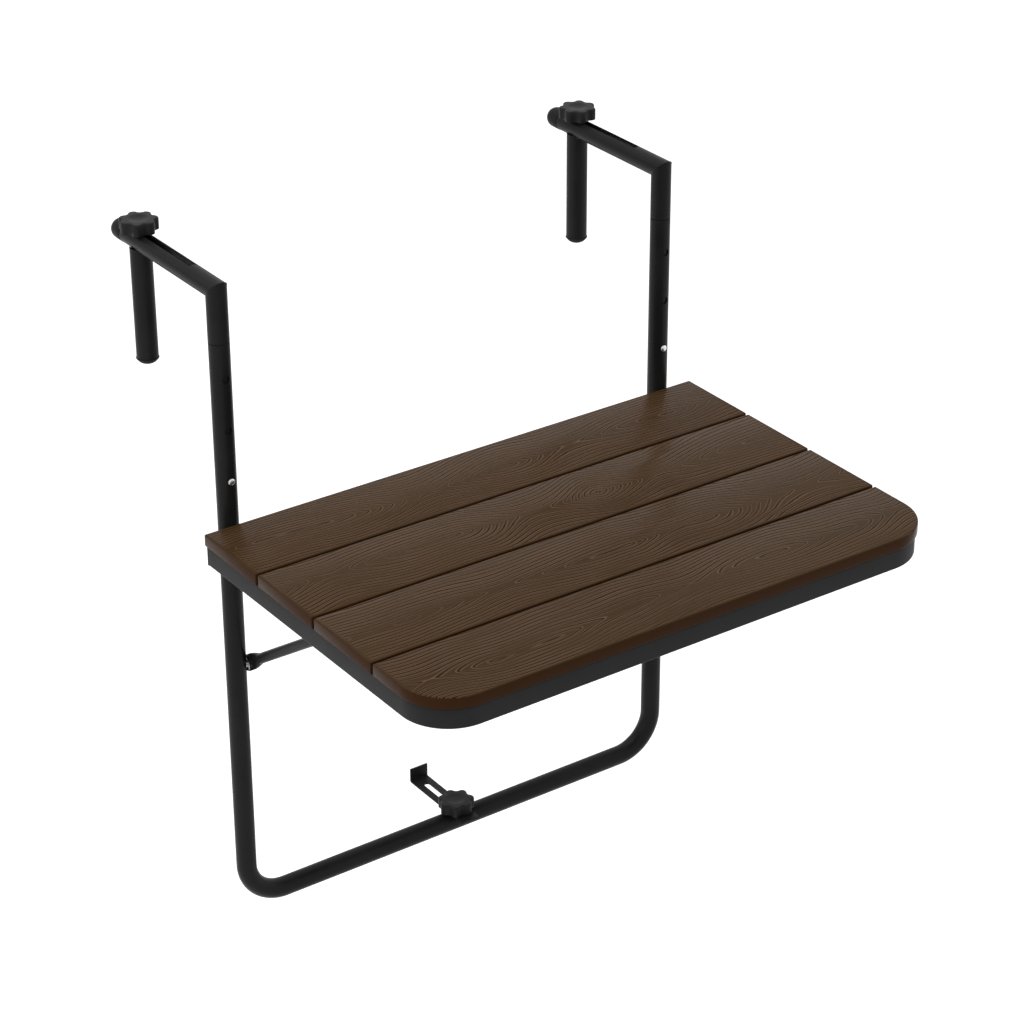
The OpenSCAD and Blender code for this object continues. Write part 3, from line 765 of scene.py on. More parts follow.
@dataclass(frozen=True)
class EmbossedPlank:
    """Brown plank with a pressed wood grain.

    The rings are lines of equal r = (|v|^b + |h(x)|^b)^(1/b), where v is the distance
    from the plank's middle line over its half width, h wanders slowly along the plank and
    b is the bow: 1 gives pointed arches and 2 round ones. The distance to a line is the
    ring's phase over the slope of r, with dr/dv = (|v|/r)^(b-1) and dr/dh = (|h|/r)^(b-1),
    so all lines are equally wide.

    The first six fields are the name, where the rear plank's stretch starts, the planks'
    pitch and half of it, the height of the upper face and half the length.
    """

    name: str
    rear: float
    pitch: float
    half: float
    top: float
    end: float
    tint: str = "483420"
    # darker tint of the grain lines: partly their own tone, partly painted shade in the pressed
    # grooves
    tint_grain_and_groove_shade: str = "22150c"
    tint_light: str = "4e3924"
    # darker tint of the sides and underside: painted shade, as they get less light than the top
    tint_side_shade: str = "432a18"
    # lighter tint on the shoulders beside the grain lines: a painted highlight
    tint_rubbed_and_highlight: str = "7b5f49"
    rings: float = 11.0
    bow: float = 1.45
    sway: float = 4.1
    sway_scale: Point = (4.6, 1.5, 1)
    wobble: float = 1.1
    wobble_scale: Point = (3.5, 4, 1)
    ripple: float = 1.3
    ripple_scale: Point = (7, 45, 1)
    press_scale: Point = (14, 60, 1)
    fibre_scale: Point = (40, 420, 60)
    patch_scale: Point = (5, 30, 20)
    row_seed: float = 7.31
    sway_seed: float = 3.7
    step: float = 4 * MM
    line: float = 0.9 * MM
    groove_depth: float = 0.6 * MM
    least_climb: float = 2.0
    fade: Span = (2 * MM, 5 * MM)
    face_drop: Span = (1.2 * MM, 0.7 * MM)
    press_range: tuple[float, ...] = (0.32, 0.6, 0.3, 1.0)
    groove_range: Span = (1.1, 0.35)
    shoulder_start: Span = (1.0, 1.4)
    shoulder_end: Span = (2.3, 1.8)
    patch_range: Span = (0.3, 0.7)
    rough_range: tuple[float, ...] = (0.3, 0.7, 0.24, 0.3)
    groove_rough: float = 0.12
    fibre_share: float = 0.05
    # how strongly the grain lines darken, as their own tone and as painted shade
    dark_share: float = 0.75
    # how strongly the painted highlight lightens the shoulders
    highlight_share: float = 0.75
    shine: float = 0.036
    shine_tint: Point = (1.0, 0.82, 0.62)

    def wave(self, g: Graph, middle: Socket, seed: Socket) -> Socket:
        """Distance to the nearest line of the grain.

        Args:
            g: the material's nodes.
            middle: distance from the plank's middle line.
            seed: number of the plank's own grain.

        Returns:
            The distance over a line's width.
        """
        wobble = g.noise(self.wobble_scale, 2, 0.4, seed)
        v = g.plus(g.over(middle, self.half), g.times(g.minus(wobble, 0.5), self.wobble))
        sway_seed = g.plus(seed, self.sway_seed)
        here, ahead = (g.times(g.minus(g.noise(
            self.sway_scale, 1, 0.4, sway_seed, along), 0.5), self.sway)
            for along in (0.0, self.step))
        across, along = g.size(v), g.size(here)
        ring = g.power(g.plus(g.power(across, self.bow), g.power(along, self.bow)), 1 / self.bow)
        steep, gentle = (g.power(g.over(part, ring), self.bow - 1) for part in (across, along))
        steep = g.over(steep, self.half)
        gentle = g.times(gentle, g.over(g.minus(ahead, here), self.step))
        climb = g.maths("SQRT", g.plus(g.times(steep, steep), g.times(gentle, gentle)))
        fine = g.noise(self.ripple_scale, 2, 0.5, seed)
        phase = g.plus(g.times(ring, self.rings), g.times(fine, self.ripple))
        return g.over(g.maths("PINGPONG", phase, 0.5),
                      g.times(g.larger(climb, self.least_climb), self.rings * self.line))

    def build(self) -> bpy.types.Material:
        """Presses the lines into every plank, and fades them at its edges and on its sides.

        The plank is told by floor(distance behind the rear edge / pitch). Within a line's
        width the surface goes down and its colour darkens, partly as the grain's own tone and
        partly as painted shade in the groove; the shoulder beside it gets a painted highlight.

        Returns:
            The material.
        """
        g = Graph.named(self.name)
        x, y, z = g.node("ShaderNodeSeparateXYZ", {0: g.place()}).outputs
        behind = g.minus(self.rear, y)
        row = g.maths("FLOOR", g.over(behind, self.pitch))
        seed = g.times(row, self.row_seed)
        middle = g.minus(behind, g.plus(g.times(row, self.pitch), self.half))
        wave = self.wave(g, middle, seed)

        face = g.spread(z, self.top - self.face_drop[0], self.top - self.face_drop[1])
        press = g.spread(g.noise(self.press_scale, 2, 0.6, seed), *self.press_range)
        margins = [g.spread(g.size(spot), edge - self.fade[0], edge - self.fade[1])
                   for spot, edge in ((middle, self.half), (x, self.end))]
        press = g.times(press, *margins, face)
        groove = g.times(g.spread(wave, *self.groove_range), press)
        shoulder = g.times(*(g.spread(wave, *part)
                             for part in (self.shoulder_start, self.shoulder_end)))
        fibre = g.times(g.noise(self.fibre_scale, 2, 0.5, seed), face)
        patch = g.noise(self.patch_scale, 3, 0.5, seed)

        light = g.spread(patch, *self.patch_range)
        base = g.blend(light, shade(self.tint), shade(self.tint_light))
        # painted shade: the sides and underside are darker than the upper face
        base = g.blend(face, shade(self.tint_side_shade), base)
        # painted highlight on the shoulder beside each grain line
        base = g.blend(g.times(shoulder, press, self.highlight_share), base, shade(self.tint_rubbed_and_highlight))
        # the grain lines darken: partly their own tone, partly painted shade in the grooves
        base = g.blend(g.times(groove, self.dark_share), base, shade(self.tint_grain_and_groove_shade))
        rough = g.plus(g.spread(fibre, *self.rough_range), g.times(groove, self.groove_rough))
        height = g.minus(g.times(fibre, self.fibre_share), groove)
        return g.coat(base, rough, height, self.groove_depth, Specular_IOR_Level=self.shine,
                      Specular_Tint=(*self.shine_tint, 1.0))


@dataclass
class Finishes:
    """The materials of the whole table, one for each slot of the record."""

    planks: EmbossedPlank
    made: dict[Slot, bpy.types.Material] = field(init=False)

    def __post_init__(self) -> None:
        """Makes every material."""
        kinds = {
            Slot.TUBE: PowderCoat("tube_coat", "202020", "252525", 0.38),
            Slot.RIM: PowderCoat("rim_coat", "2c2c2c", "323232", 0.5, 0.07 * MM),
            Slot.STEEL: PlainMetal("zinc_steel", "d6d8da", "a6a8aa"),
            Slot.SPRING: PlainMetal("spring_leaf", "9c9ea0", "707274", 0.3),
            Slot.BRASS: PlainMetal("insert_brass", "c8a860", "8d7440", 0.3),
            Slot.KNOB: MouldedPlastic("knob_moulding", "2a2a2a"),
            Slot.CAP: MouldedPlastic("cap_moulding", "242424", 0.36),
            Slot.PLANK: self.planks,
        }
        self.made = {key: finish.build() for key, finish in kinds.items()}

    def dress(self, piece: Piece, slot: Slot) -> None:
        """Gives a piece its only material."""
        piece.data.materials.clear()
        piece.data.materials.append(self.made[slot])


# Pieces


def loose_object(name: str, shell: Shell) -> Piece:
    """Writes a shell into a new mesh object of the scene.

    Args:
        name: name of the object and its mesh.
        shell: its points and faces.

    Returns:
        The object.
    """
    mesh = bpy.data.meshes.new(name)
    faces = [part.tolist() for part in shell.plates]
    mesh.from_pydata(shell.points.tolist(), [], shell.quads.tolist() + shell.tris.tolist() + faces)
    mesh.validate()
    made = bpy.data.objects.new(name, mesh)
    bpy.context.scene.collection.objects.link(made)
    return made


def bake_modifiers(piece: Piece) -> None:
    """Applies all modifiers of a piece to its mesh.

    Args:
        piece: the piece.
    """
    bpy.context.view_layer.update()
    shown = piece.evaluated_get(bpy.context.evaluated_depsgraph_get())
    mesh = bpy.data.meshes.new_from_object(shown)
    piece.modifiers.clear()
    piece.data = mesh


def carve(piece: Piece, cutters: list[Shell]) -> None:
    """Cuts holes and slots into a piece.

    Args:
        piece: a closed piece.
        cutters: closed shells of what is taken away, clear of each other.
    """
    tool = loose_object("cutter", joined(cutters))
    cut = piece.modifiers.new("cut", "BOOLEAN")
    cut.operation, cut.solver, cut.object = "DIFFERENCE", "EXACT", tool
    bake_modifiers(piece)
    bpy.data.objects.remove(tool)


@dataclass
class Workshop:
    """Turns shells into dressed pieces that ride on a body."""

    finishes: Finishes
    frame: dict
    count: int = 0
    merge_reach: float = 0.002 * MM
    flat_angle: float = 0.5
    edge_angle: float = 35.0

    def fit(self, piece: Piece, body: str, slot: Slot, node: str = "", crease: float = 32) -> None:
        """Shades, dresses and mounts a piece.

        Args:
            piece: the piece, in place.
            body: the body that it rides on.
            slot: its finish.
            node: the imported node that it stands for, if any.
            crease: angle in degrees above which an edge stays sharp.
        """
        piece.data.polygons.foreach_set("use_smooth", np.ones(len(piece.data.polygons), bool))
        piece.data.set_sharp_from_angle(angle=math.radians(crease))
        self.finishes.dress(piece, slot)
        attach(piece, body)
        if node:
            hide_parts(node)
        self.count += 1
        LOG.info("%s: %d faces on %s", piece.name, len(piece.data.polygons), body)

    def make(self, name: str, shell: Shell, body: str, slot: Slot, node: str = "",
             crease: float = 32) -> None:
        """Makes a piece of a shell and mounts it as fit() does."""
        self.fit(loose_object(name, shell), body, slot, node, crease)

    def copy_of(self, node: str, name: str, body: str, slot: Slot, edge: float = 0.0) -> None:
        """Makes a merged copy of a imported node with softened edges, which replaces the node.

        Args:
            node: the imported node.
            name: name of the copy.
            body: the body that it rides on.
            slot: its finish.
            edge: width of the softened edges, if any.
        """
        piece = bpy.data.objects.new(name, self.frame["nodes"][node].data.copy())
        bpy.context.scene.collection.objects.link(piece)
        weld = piece.modifiers.new("weld", "WELD")
        weld.merge_threshold = self.merge_reach
        flat = piece.modifiers.new("flat", "DECIMATE")
        flat.decimate_type, flat.angle_limit = "DISSOLVE", math.radians(self.flat_angle)
        bake_modifiers(piece)
        if edge:
            bevel = piece.modifiers.new("soft_edges", "BEVEL")
            bevel.width, bevel.segments, bevel.limit_method = edge, 2, "ANGLE"
            bevel.angle_limit = math.radians(self.edge_angle)
            bake_modifiers(piece)
        self.fit(piece, body, slot, node)

    def keep(self, nodes: dict[str, Slot]) -> None:
        """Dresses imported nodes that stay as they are.

        Args:
            nodes: the finish of each node.
        """
        for node, slot in nodes.items():
            self.finishes.dress(self.frame["nodes"][node], slot)
            LOG.info("%s: kept node", node)

    @staticmethod
    def span(node: str) -> tuple[np.ndarray, np.ndarray]:
        """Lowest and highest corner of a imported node."""
        low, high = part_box(node)
        return np.array(low), np.array(high)

    @classmethod
    def middle(cls, node: str) -> np.ndarray:
        """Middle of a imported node."""
        low, high = cls.span(node)
        return (low + high) / 2


@dataclass
class Tubing:
    """Sizes that the round frame tubes share."""

    radius: float = 10.6 * MM
    wall: float = 1.2 * MM
    lip: float = 0.6 * MM
    sides: int = 72

    def carry(self, path: np.ndarray, normal: Point) -> Shell:
        """The hollow tube along a flat path."""
        outer, inner = (circle(r, self.sides) for r in (self.radius, self.radius - self.wall))
        return pipe(path, outer, inner, normal, self.lip)


@dataclass
class LowerFrame:
    """The bent tube: two uprights and the bottom rail, with its holes (as radii) and ears."""

    shop: Workshop
    tubing: Tubing
    bend: float = 45 * MM
    hole: float = 4 * MM
    hole_heights: tuple[float, ...] = (-80 * MM, -135 * MM, -190 * MM)
    insert_hole: float = 4.65 * MM
    stud_hole: float = 3.15 * MM
    drill: float = 20 * MM
    nut_edge: float = 0.3 * MM
    ear_edge: float = 0.4 * MM
    bead: float = 1.5 * MM
    bead_ripple: float = 1.1 * MM
    bead_swell: float = 0.12
    bead_margin: float = 0.8 * MM
    bead_front: float = 0.55

    def build(self) -> None:
        """Makes the tube, its ears with their weld seams and the hinge hardware.

        The tube is a circle with its bore, carried down, across and up with two bends.
        """
        low, high = self.shop.span("u_frame")
        r, y = self.tubing.radius, self.shop.middle("u_frame")[1]
        x, rail, top, drill = high[0] - r, low[2] + r, high[2], self.drill
        path = bent_path([(-x, y, top), (-x, y, rail), (x, y, rail), (x, y, top)], self.bend, 3)
        tube = loose_object("lower_tube", self.tubing.carry(path, (0, 1, 0)))
        z = self.shop.middle("brace_inserts")[2]
        holes = [rod((s * x, y - drill, h), (s * x, y, h), self.hole)
                 for s in (-1, 1) for h in self.hole_heights]
        holes += [rod((s * (x - drill), y, z), (s * x, y, z), self.insert_hole) for s in (-1, 1)]
        holes.append(rod((0, y, rail), (0, y, rail + drill), self.stud_hole))
        carve(tube, holes)
        self.shop.fit(tube, "frame", Slot.TUBE, "u_frame")
        for side in Side:
            self.ear(side, y)
        self.shop.keep({"hinge_spacers": Slot.CAP, "brace_inserts": Slot.STEEL})
        self.shop.copy_of("hinge_nuts", "lock_nuts", "table", Slot.STEEL, self.nut_edge)

    def ear(self, side: Side, y: float) -> None:
        """Makes one hinge ear and the weld beads along the tube.

        A bead's radius is rippled by a sine of the height and runs out at both ends with
        the square root of 1 - s^8, for s from -1 to 1 along it.

        Args:
            side: which end of the table.
            y: place of the upright's axis.
        """
        node = side.named("hinge_ear")
        low, high = self.shop.span(node)
        self.shop.copy_of(node, side.named("ear_plate"), "frame", Slot.TUBE, self.ear_edge)
        inner, count = high[0] if side is Side.LEFT else low[0], 40
        lift = np.linspace(low[2] + self.bead_margin, high[2] - self.bead_margin, count)
        swell = 1 + self.bead_swell * np.sin(lift / self.bead_ripple * TURN / 2)
        ends = np.sqrt(np.clip(1 - np.linspace(-1, 1, count) ** 8, 0.02, 1))
        bead = circle(self.bead, 16)[None] * (swell * ends)[:, None, None]
        front = y - self.tubing.radius * self.bead_front
        for name, spot in (("front", front), ("rear", high[1])):
            path = np.stack([np.full(count, inner), np.full(count, spot), lift], 1)
            self.shop.make(side.named(f"ear_weld_{name}"), sweep(path, bead, (1, 0, 0), "pole"),
                           "frame", Slot.TUBE)


@dataclass
class Hook:
    """One mitred hook with its slotted arm, cap, insert tube, spring and button."""

    shop: Workshop
    tubing: Tubing
    side: Side
    seam: float = 0.55 * MM
    seam_sunk: float = 0.25 * MM
    slot_start: float = 31.4 * MM
    slot_margin: float = 15 * MM
    slot_width: float = 7.5 * MM
    slot_corner: float = 0.9 * MM
    slot_over: float = 2 * MM
    stub: float = 1 * MM
    seat_gap: float = 0.15 * MM
    cap_step: float = 0.8 * MM
    cap_pole: float = 0.15 * MM
    leaf: float = 1 * MM
    leaf_corner: float = 1.2 * MM
    leaf_edge: float = 0.2 * MM
    stem: float = 3.5 * MM
    stem_sunk: float = 0.3 * MM
    stem_dome: float = 1.3 * MM
    stem_height: float = -190 * MM

    def build(self) -> None:
        """Makes the hook and everything that it carries.

        The hook is a circle with its bore, carried up and out round one square corner.
        """
        name, r, over = self.side.named, self.tubing.radius, self.slot_over
        low, high = self.shop.span(name("hook"))
        x, y, z = (low[0] + high[0]) / 2, low[1] + r, high[2] - r
        path = np.array([(x, y, low[2]), (x, y, low[2] + self.stub), (x, y, z),
                         (x, high[1] - self.stub, z), (x, high[1], z)])
        tube = loose_object(name("hook_tube"), self.tubing.carry(path, (1, 0, 0)))
        start, end = self.slot_start, high[1] - self.slot_margin
        plan = round_box(self.slot_width, end - start, self.slot_corner, 4)
        slot = slab(plan, -over, 2 * z + over, TOOL_EDGE, 1)
        carve(tube, [slot.moved(x, (start + end) / 2)])
        self.shop.fit(tube, name("hook"), Slot.TUBE, name("hook"))
        self.mitre_seam(x, y, z)
        self.arm_cap(x, z, high[1])
        self.button(x)
        self.shop.keep({name("hook_insert"): Slot.TUBE, name("spring_clip"): Slot.SPRING})

    def mitre_seam(self, x: float, y: float, z: float) -> None:
        """Makes the ground weld seam round the mitred corner.

        It is a thin ring along x = r cos t, y = -r sin t, z = r sin t about the corner.

        Args:
            x: place of the hook.
            y: axis of its upright.
            z: axis of its arm.
        """
        t = np.arange(96) * TURN / 96
        r = self.tubing.radius - self.seam_sunk
        out = np.stack([r * np.cos(t), -r * np.sin(t), r * np.sin(t)], 1)
        across = unit(np.array([0.0, 1.0, 1.0]))
        grid = rings(out + (x, y, z), unit(out), across, circle(self.seam, 10))
        self.shop.make(self.side.named("mitre_seam"), skin(grid, close_rows=True),
                       self.side.named("hook"), Slot.TUBE)

    def arm_cap(self, x: float, z: float, end: float) -> None:
        """Makes the domed plastic cap on the arm's end.

        The dome is a quarter circle of the cap's radius, and the cap stands out a little
        round the tube, with a rounded step.

        Args:
            x: place of the hook.
            z: axis of its arm.
            end: where the arm tube ends.
        """
        node = self.side.named("arm_cap")
        low, high = self.shop.span(node)
        r, bore = (high[0] - low[0]) / 2, self.tubing.radius - self.tubing.wall - self.seat_gap
        straight, step, a = high[1] - r - end, self.cap_step, quarter(19)[1:-1]
        profile = np.concatenate([
            [(bore, low[1] - end), (bore, 0.0), (r - step, 0.0), (r - 0.3 * step, 0.3 * step),
             (r, step), (r, straight)],
            np.stack([r * np.cos(a), straight + r * np.sin(a)], 1),
            [(self.cap_pole, straight + r)],
        ])
        shell = turned_body(profile, 64).turned(ALONG_Y).moved(x, end, z)
        self.shop.make(self.side.named("end_cap"), shell, self.side.named("hook"), Slot.CAP, node)

    def button(self, x: float) -> None:
        """Makes the spring button: a domed stem on the moving leaf.

        The dome's radius is s sin a and its height d (1 - cos a), for a up to a quarter turn.

        Args:
            x: place of the hook.
        """
        node = self.side.named("snap_button")
        low, high = self.shop.span(node)
        front = high[1] - self.leaf
        plan = round_box(high[0] - low[0], high[2] - low[2], self.leaf_corner, 5)
        leaf = slab(plan, front, high[1], self.leaf_edge, 2).turned(ALONG_Y)
        a = np.linspace(0.08, TURN / 4, 14)
        dome = np.stack([self.stem * np.sin(a), low[1] + self.stem_dome * (1 - np.cos(a))], 1)
        profile = np.concatenate([dome, [(self.stem, front + self.stem_sunk)]])
        pin = turned_body(profile, 40).turned(ALONG_Y)
        shell = joined([leaf.moved(x, z=(low[2] + high[2]) / 2),
                        pin.moved(x, z=self.stem_height)])
        self.shop.make(self.side.named("spring_button"), shell, self.side.named("button"),
                       Slot.STEEL, node)


@dataclass
class Clamp:
    """One clamp leg under an arm, with its cap and threaded stud."""

    shop: Workshop
    tubing: Tubing
    side: Side
    wall: float = 1.5 * MM
    lip: float = 0.3 * MM
    run_gap: float = 0.3 * MM
    seat_gap: float = 0.15 * MM
    cap_rim: float = 1 * MM
    cap_edge: float = 0.4 * MM
    cap_inset: float = 0.1 * MM
    cap_bow: float = 0.62
    cap_pole: float = 0.2 * MM
    stud_sunk: float = 0.2 * MM
    # Radius and height in millimetres
    stud_plate: tuple[Span, ...] = ((9.4, 0), (9.55, 0.2), (9.55, 3.8), (9.4, 4))

    def build(self) -> None:
        """Makes the leg, its cap and the stud."""
        name = self.side.named
        low, high = self.shop.span(name("clamp_leg"))
        x, y, _ = self.shop.middle(name("clamp_leg"))
        r, body = (high[0] - low[0]) / 2, name("clamp")
        self.shop.make(name("leg_tube"), self.leg(r, low[2], high[2]).moved(x, y), body,
                       Slot.TUBE, name("clamp_leg"))
        self.shop.make(name("foot_cap"), self.cap(r, low[2]).moved(x, y), body,
                       Slot.CAP, name("leg_cap"))
        low, high = self.shop.span(name("clamp_stud"))
        shell = stud(self.stud_plate, 48, (low[2], high[2]), self.stud_sunk)
        self.shop.make(name("threaded_stud"), shell.moved(x, y), body, Slot.STEEL,
                       name("clamp_stud"))

    def leg(self, r: float, bottom: float, top: float) -> Shell:
        """Hollow leg, whose upper end is cut to the arm's round underside.

        The saddle's height is arm axis - sqrt(R^2 - x^2) and is held at the flanks' height.

        Args:
            r: outer radius.
            bottom: height of its lower end.
            top: height of the flanks.

        Returns:
            The surface, about Z.
        """
        sides, arm, lip, bore = 96, self.tubing.radius, self.lip, r - self.wall
        seat = arm + self.run_gap
        cosines = circle(1.0, sides)[:, 0]
        upper, inner = (np.minimum(arm - np.sqrt(np.clip(
            seat**2 - (cosines * radius) ** 2, 0, None)), top) for radius in (r, bore))
        rows = [(r - lip, bottom), (r, bottom + lip)]
        rows += [(r, bottom + lip + (upper - lip - bottom - lip) * s)
                 for s in np.linspace(0.1, 1, 10)]
        rows += [(r - lip, upper), (bore, inner)]
        rows += [(bore, inner + (bottom - inner) * s) for s in (0.5, 1.0)]
        heights = np.array([np.broadcast_to(height, (sides,)) for _, height in rows])
        return skin(spun(np.array([[radius] for radius, _ in rows]), heights, sides), True)

    def cap(self, r: float, bottom: float) -> Shell:
        """Cap below the leg: a rounded rim that stands out, and a flat dome.

        The rim is half a circle, and the dome's depth is d (1 - (radius / base)^2) ** bow.

        Args:
            r: outer radius of the leg.
            bottom: height of the leg's lower end.

        Returns:
            The surface, about Z.
        """
        low, high = self.shop.span(self.side.named("leg_cap"))
        half, bore, soft = self.cap_rim, r - self.wall - self.seat_gap, self.cap_edge
        ring = (high[0] - low[0]) / 2 - half
        base, foot = ring - self.cap_inset, bottom - 2 * half
        t = np.linspace(TURN / 4, -TURN / 4, 13)
        rim = np.stack([ring + half * np.cos(t), bottom - half + half * np.sin(t)], 1)
        share = np.cos(quarter(15))
        dome = np.stack([base * share, foot - (foot - low[2]) * (1 - share**2) ** self.cap_bow], 1)
        spigot = [(bore - soft, high[2]), (bore, high[2] - soft), (bore, bottom)]
        pole = [(self.cap_pole, low[2])]
        return turned_body(np.concatenate([spigot, rim, dome[:-1], pole]), 64)


@dataclass
class StarKnob:
    """A seven-lobed knob with a dished top."""

    shop: Workshop
    node: str
    name: str
    body: str
    lobes: int = 7
    reach: float = 20 * MM
    lobe: float = 5 * MM
    valley: float = 6 * MM
    edge: float = 1.8 * MM
    foot: float = 0.5 * MM
    dish: float = 10 * MM
    dish_depth: float = 1.5 * MM
    dish_rim: float = 0.9 * MM
    dish_rim_drop: float = 0.05 * MM
    dish_edge: float = 0.12 * MM
    dish_pole: float = 0.3 * MM
    crease: float = 40.0
    turn: float = 30.0
    # Radius and height in millimetres: the bore of the insert, the hub and its groove
    under: tuple[Span, ...] = (
        (0.3, 9), (4.65, 9), (4.65, 0.2), (4.85, 0), (7.3, 0), (7.5, 0.2), (7.5, 6),
        (12.5, 6), (12.5, 0.2), (12.7, 0))

    def outline(self, count: int = 336) -> np.ndarray:
        """Radius of the outline round one turn.

        On a lobe it is c cos p + sqrt(a^2 - c^2 sin^2 p) for a circle of radius a at
        distance c, on a hollow it is the same with a minus, and the smaller
        angle to the nearest centre picks between them.

        Args:
            count: number of directions.

        Returns:
            The radius in each direction.
        """
        half = math.pi / self.lobes
        ring, gap = self.reach - self.lobe, self.lobe + self.valley
        far = ring * math.cos(half) + math.sqrt(gap**2 - (ring * math.sin(half)) ** 2)
        share = self.lobe / gap
        limit = math.atan2(far * math.sin(half) * share,
                           ring + (far * math.cos(half) - ring) * share)
        t = np.arange(count) * TURN / count - math.radians(self.turn)
        p = (t + half) % (2 * half) - half
        q = half - np.abs(p)
        lobe, hollow = (c * np.cos(angle) + sign * np.sqrt(np.clip(
            a**2 - (c * np.sin(angle)) ** 2, 0, None))
            for c, a, angle, sign in ((ring, self.lobe, p, 1), (far, self.valley, q, -1)))
        return np.where(np.abs(p) <= limit, lobe, hollow)

    def build(self) -> None:
        """Makes the knob with a soft upper edge, a round dish, and the hub groove below.

        At the edge the outline moves in by e (1 - cos a) at the height h - e (1 - sin a).
        The dish lies sqrt(R^2 - r^2) - (R - depth) deep, which is the cap of a sphere.
        """
        low, high = self.shop.span(self.node)
        x, y, _ = self.shop.middle(self.node)
        r, height, edge, foot = self.outline(), high[2] - low[2], self.edge, self.foot
        rows = [(v * MM, z * MM) for v, z in self.under]
        rows += [(r - foot, 0.0), (r - foot * 0.3, foot * 0.3), (r, foot)]
        rows += [(r - edge * (1 - math.cos(a)), height - edge * (1 - math.sin(a)))
                 for a in quarter(7)]
        flat = self.dish + self.dish_rim
        rows += [(r - edge + (flat - r + edge) * share, height) for share in (0.35, 0.7, 1.0)]
        rows.append((self.dish + self.dish_rim / 2, height - self.dish_rim_drop))
        sphere = (self.dish**2 + self.dish_depth**2) / (2 * self.dish_depth)
        for radius in np.linspace(self.dish, self.dish_pole, 9):
            drop = math.sqrt(sphere**2 - radius**2) - (sphere - self.dish_depth)
            drop += self.dish_edge * (radius / self.dish) ** 6
            rows.append((radius, height - drop))
        radii = np.array([np.broadcast_to(radius, r.shape) for radius, _ in rows])
        shell = skin(spun(radii, np.array([[z] for _, z in rows]), len(r)), ends="pole")
        self.shop.make(self.name, shell.moved(x, y, low[2]), self.body, Slot.KNOB, self.node,
                       self.crease)


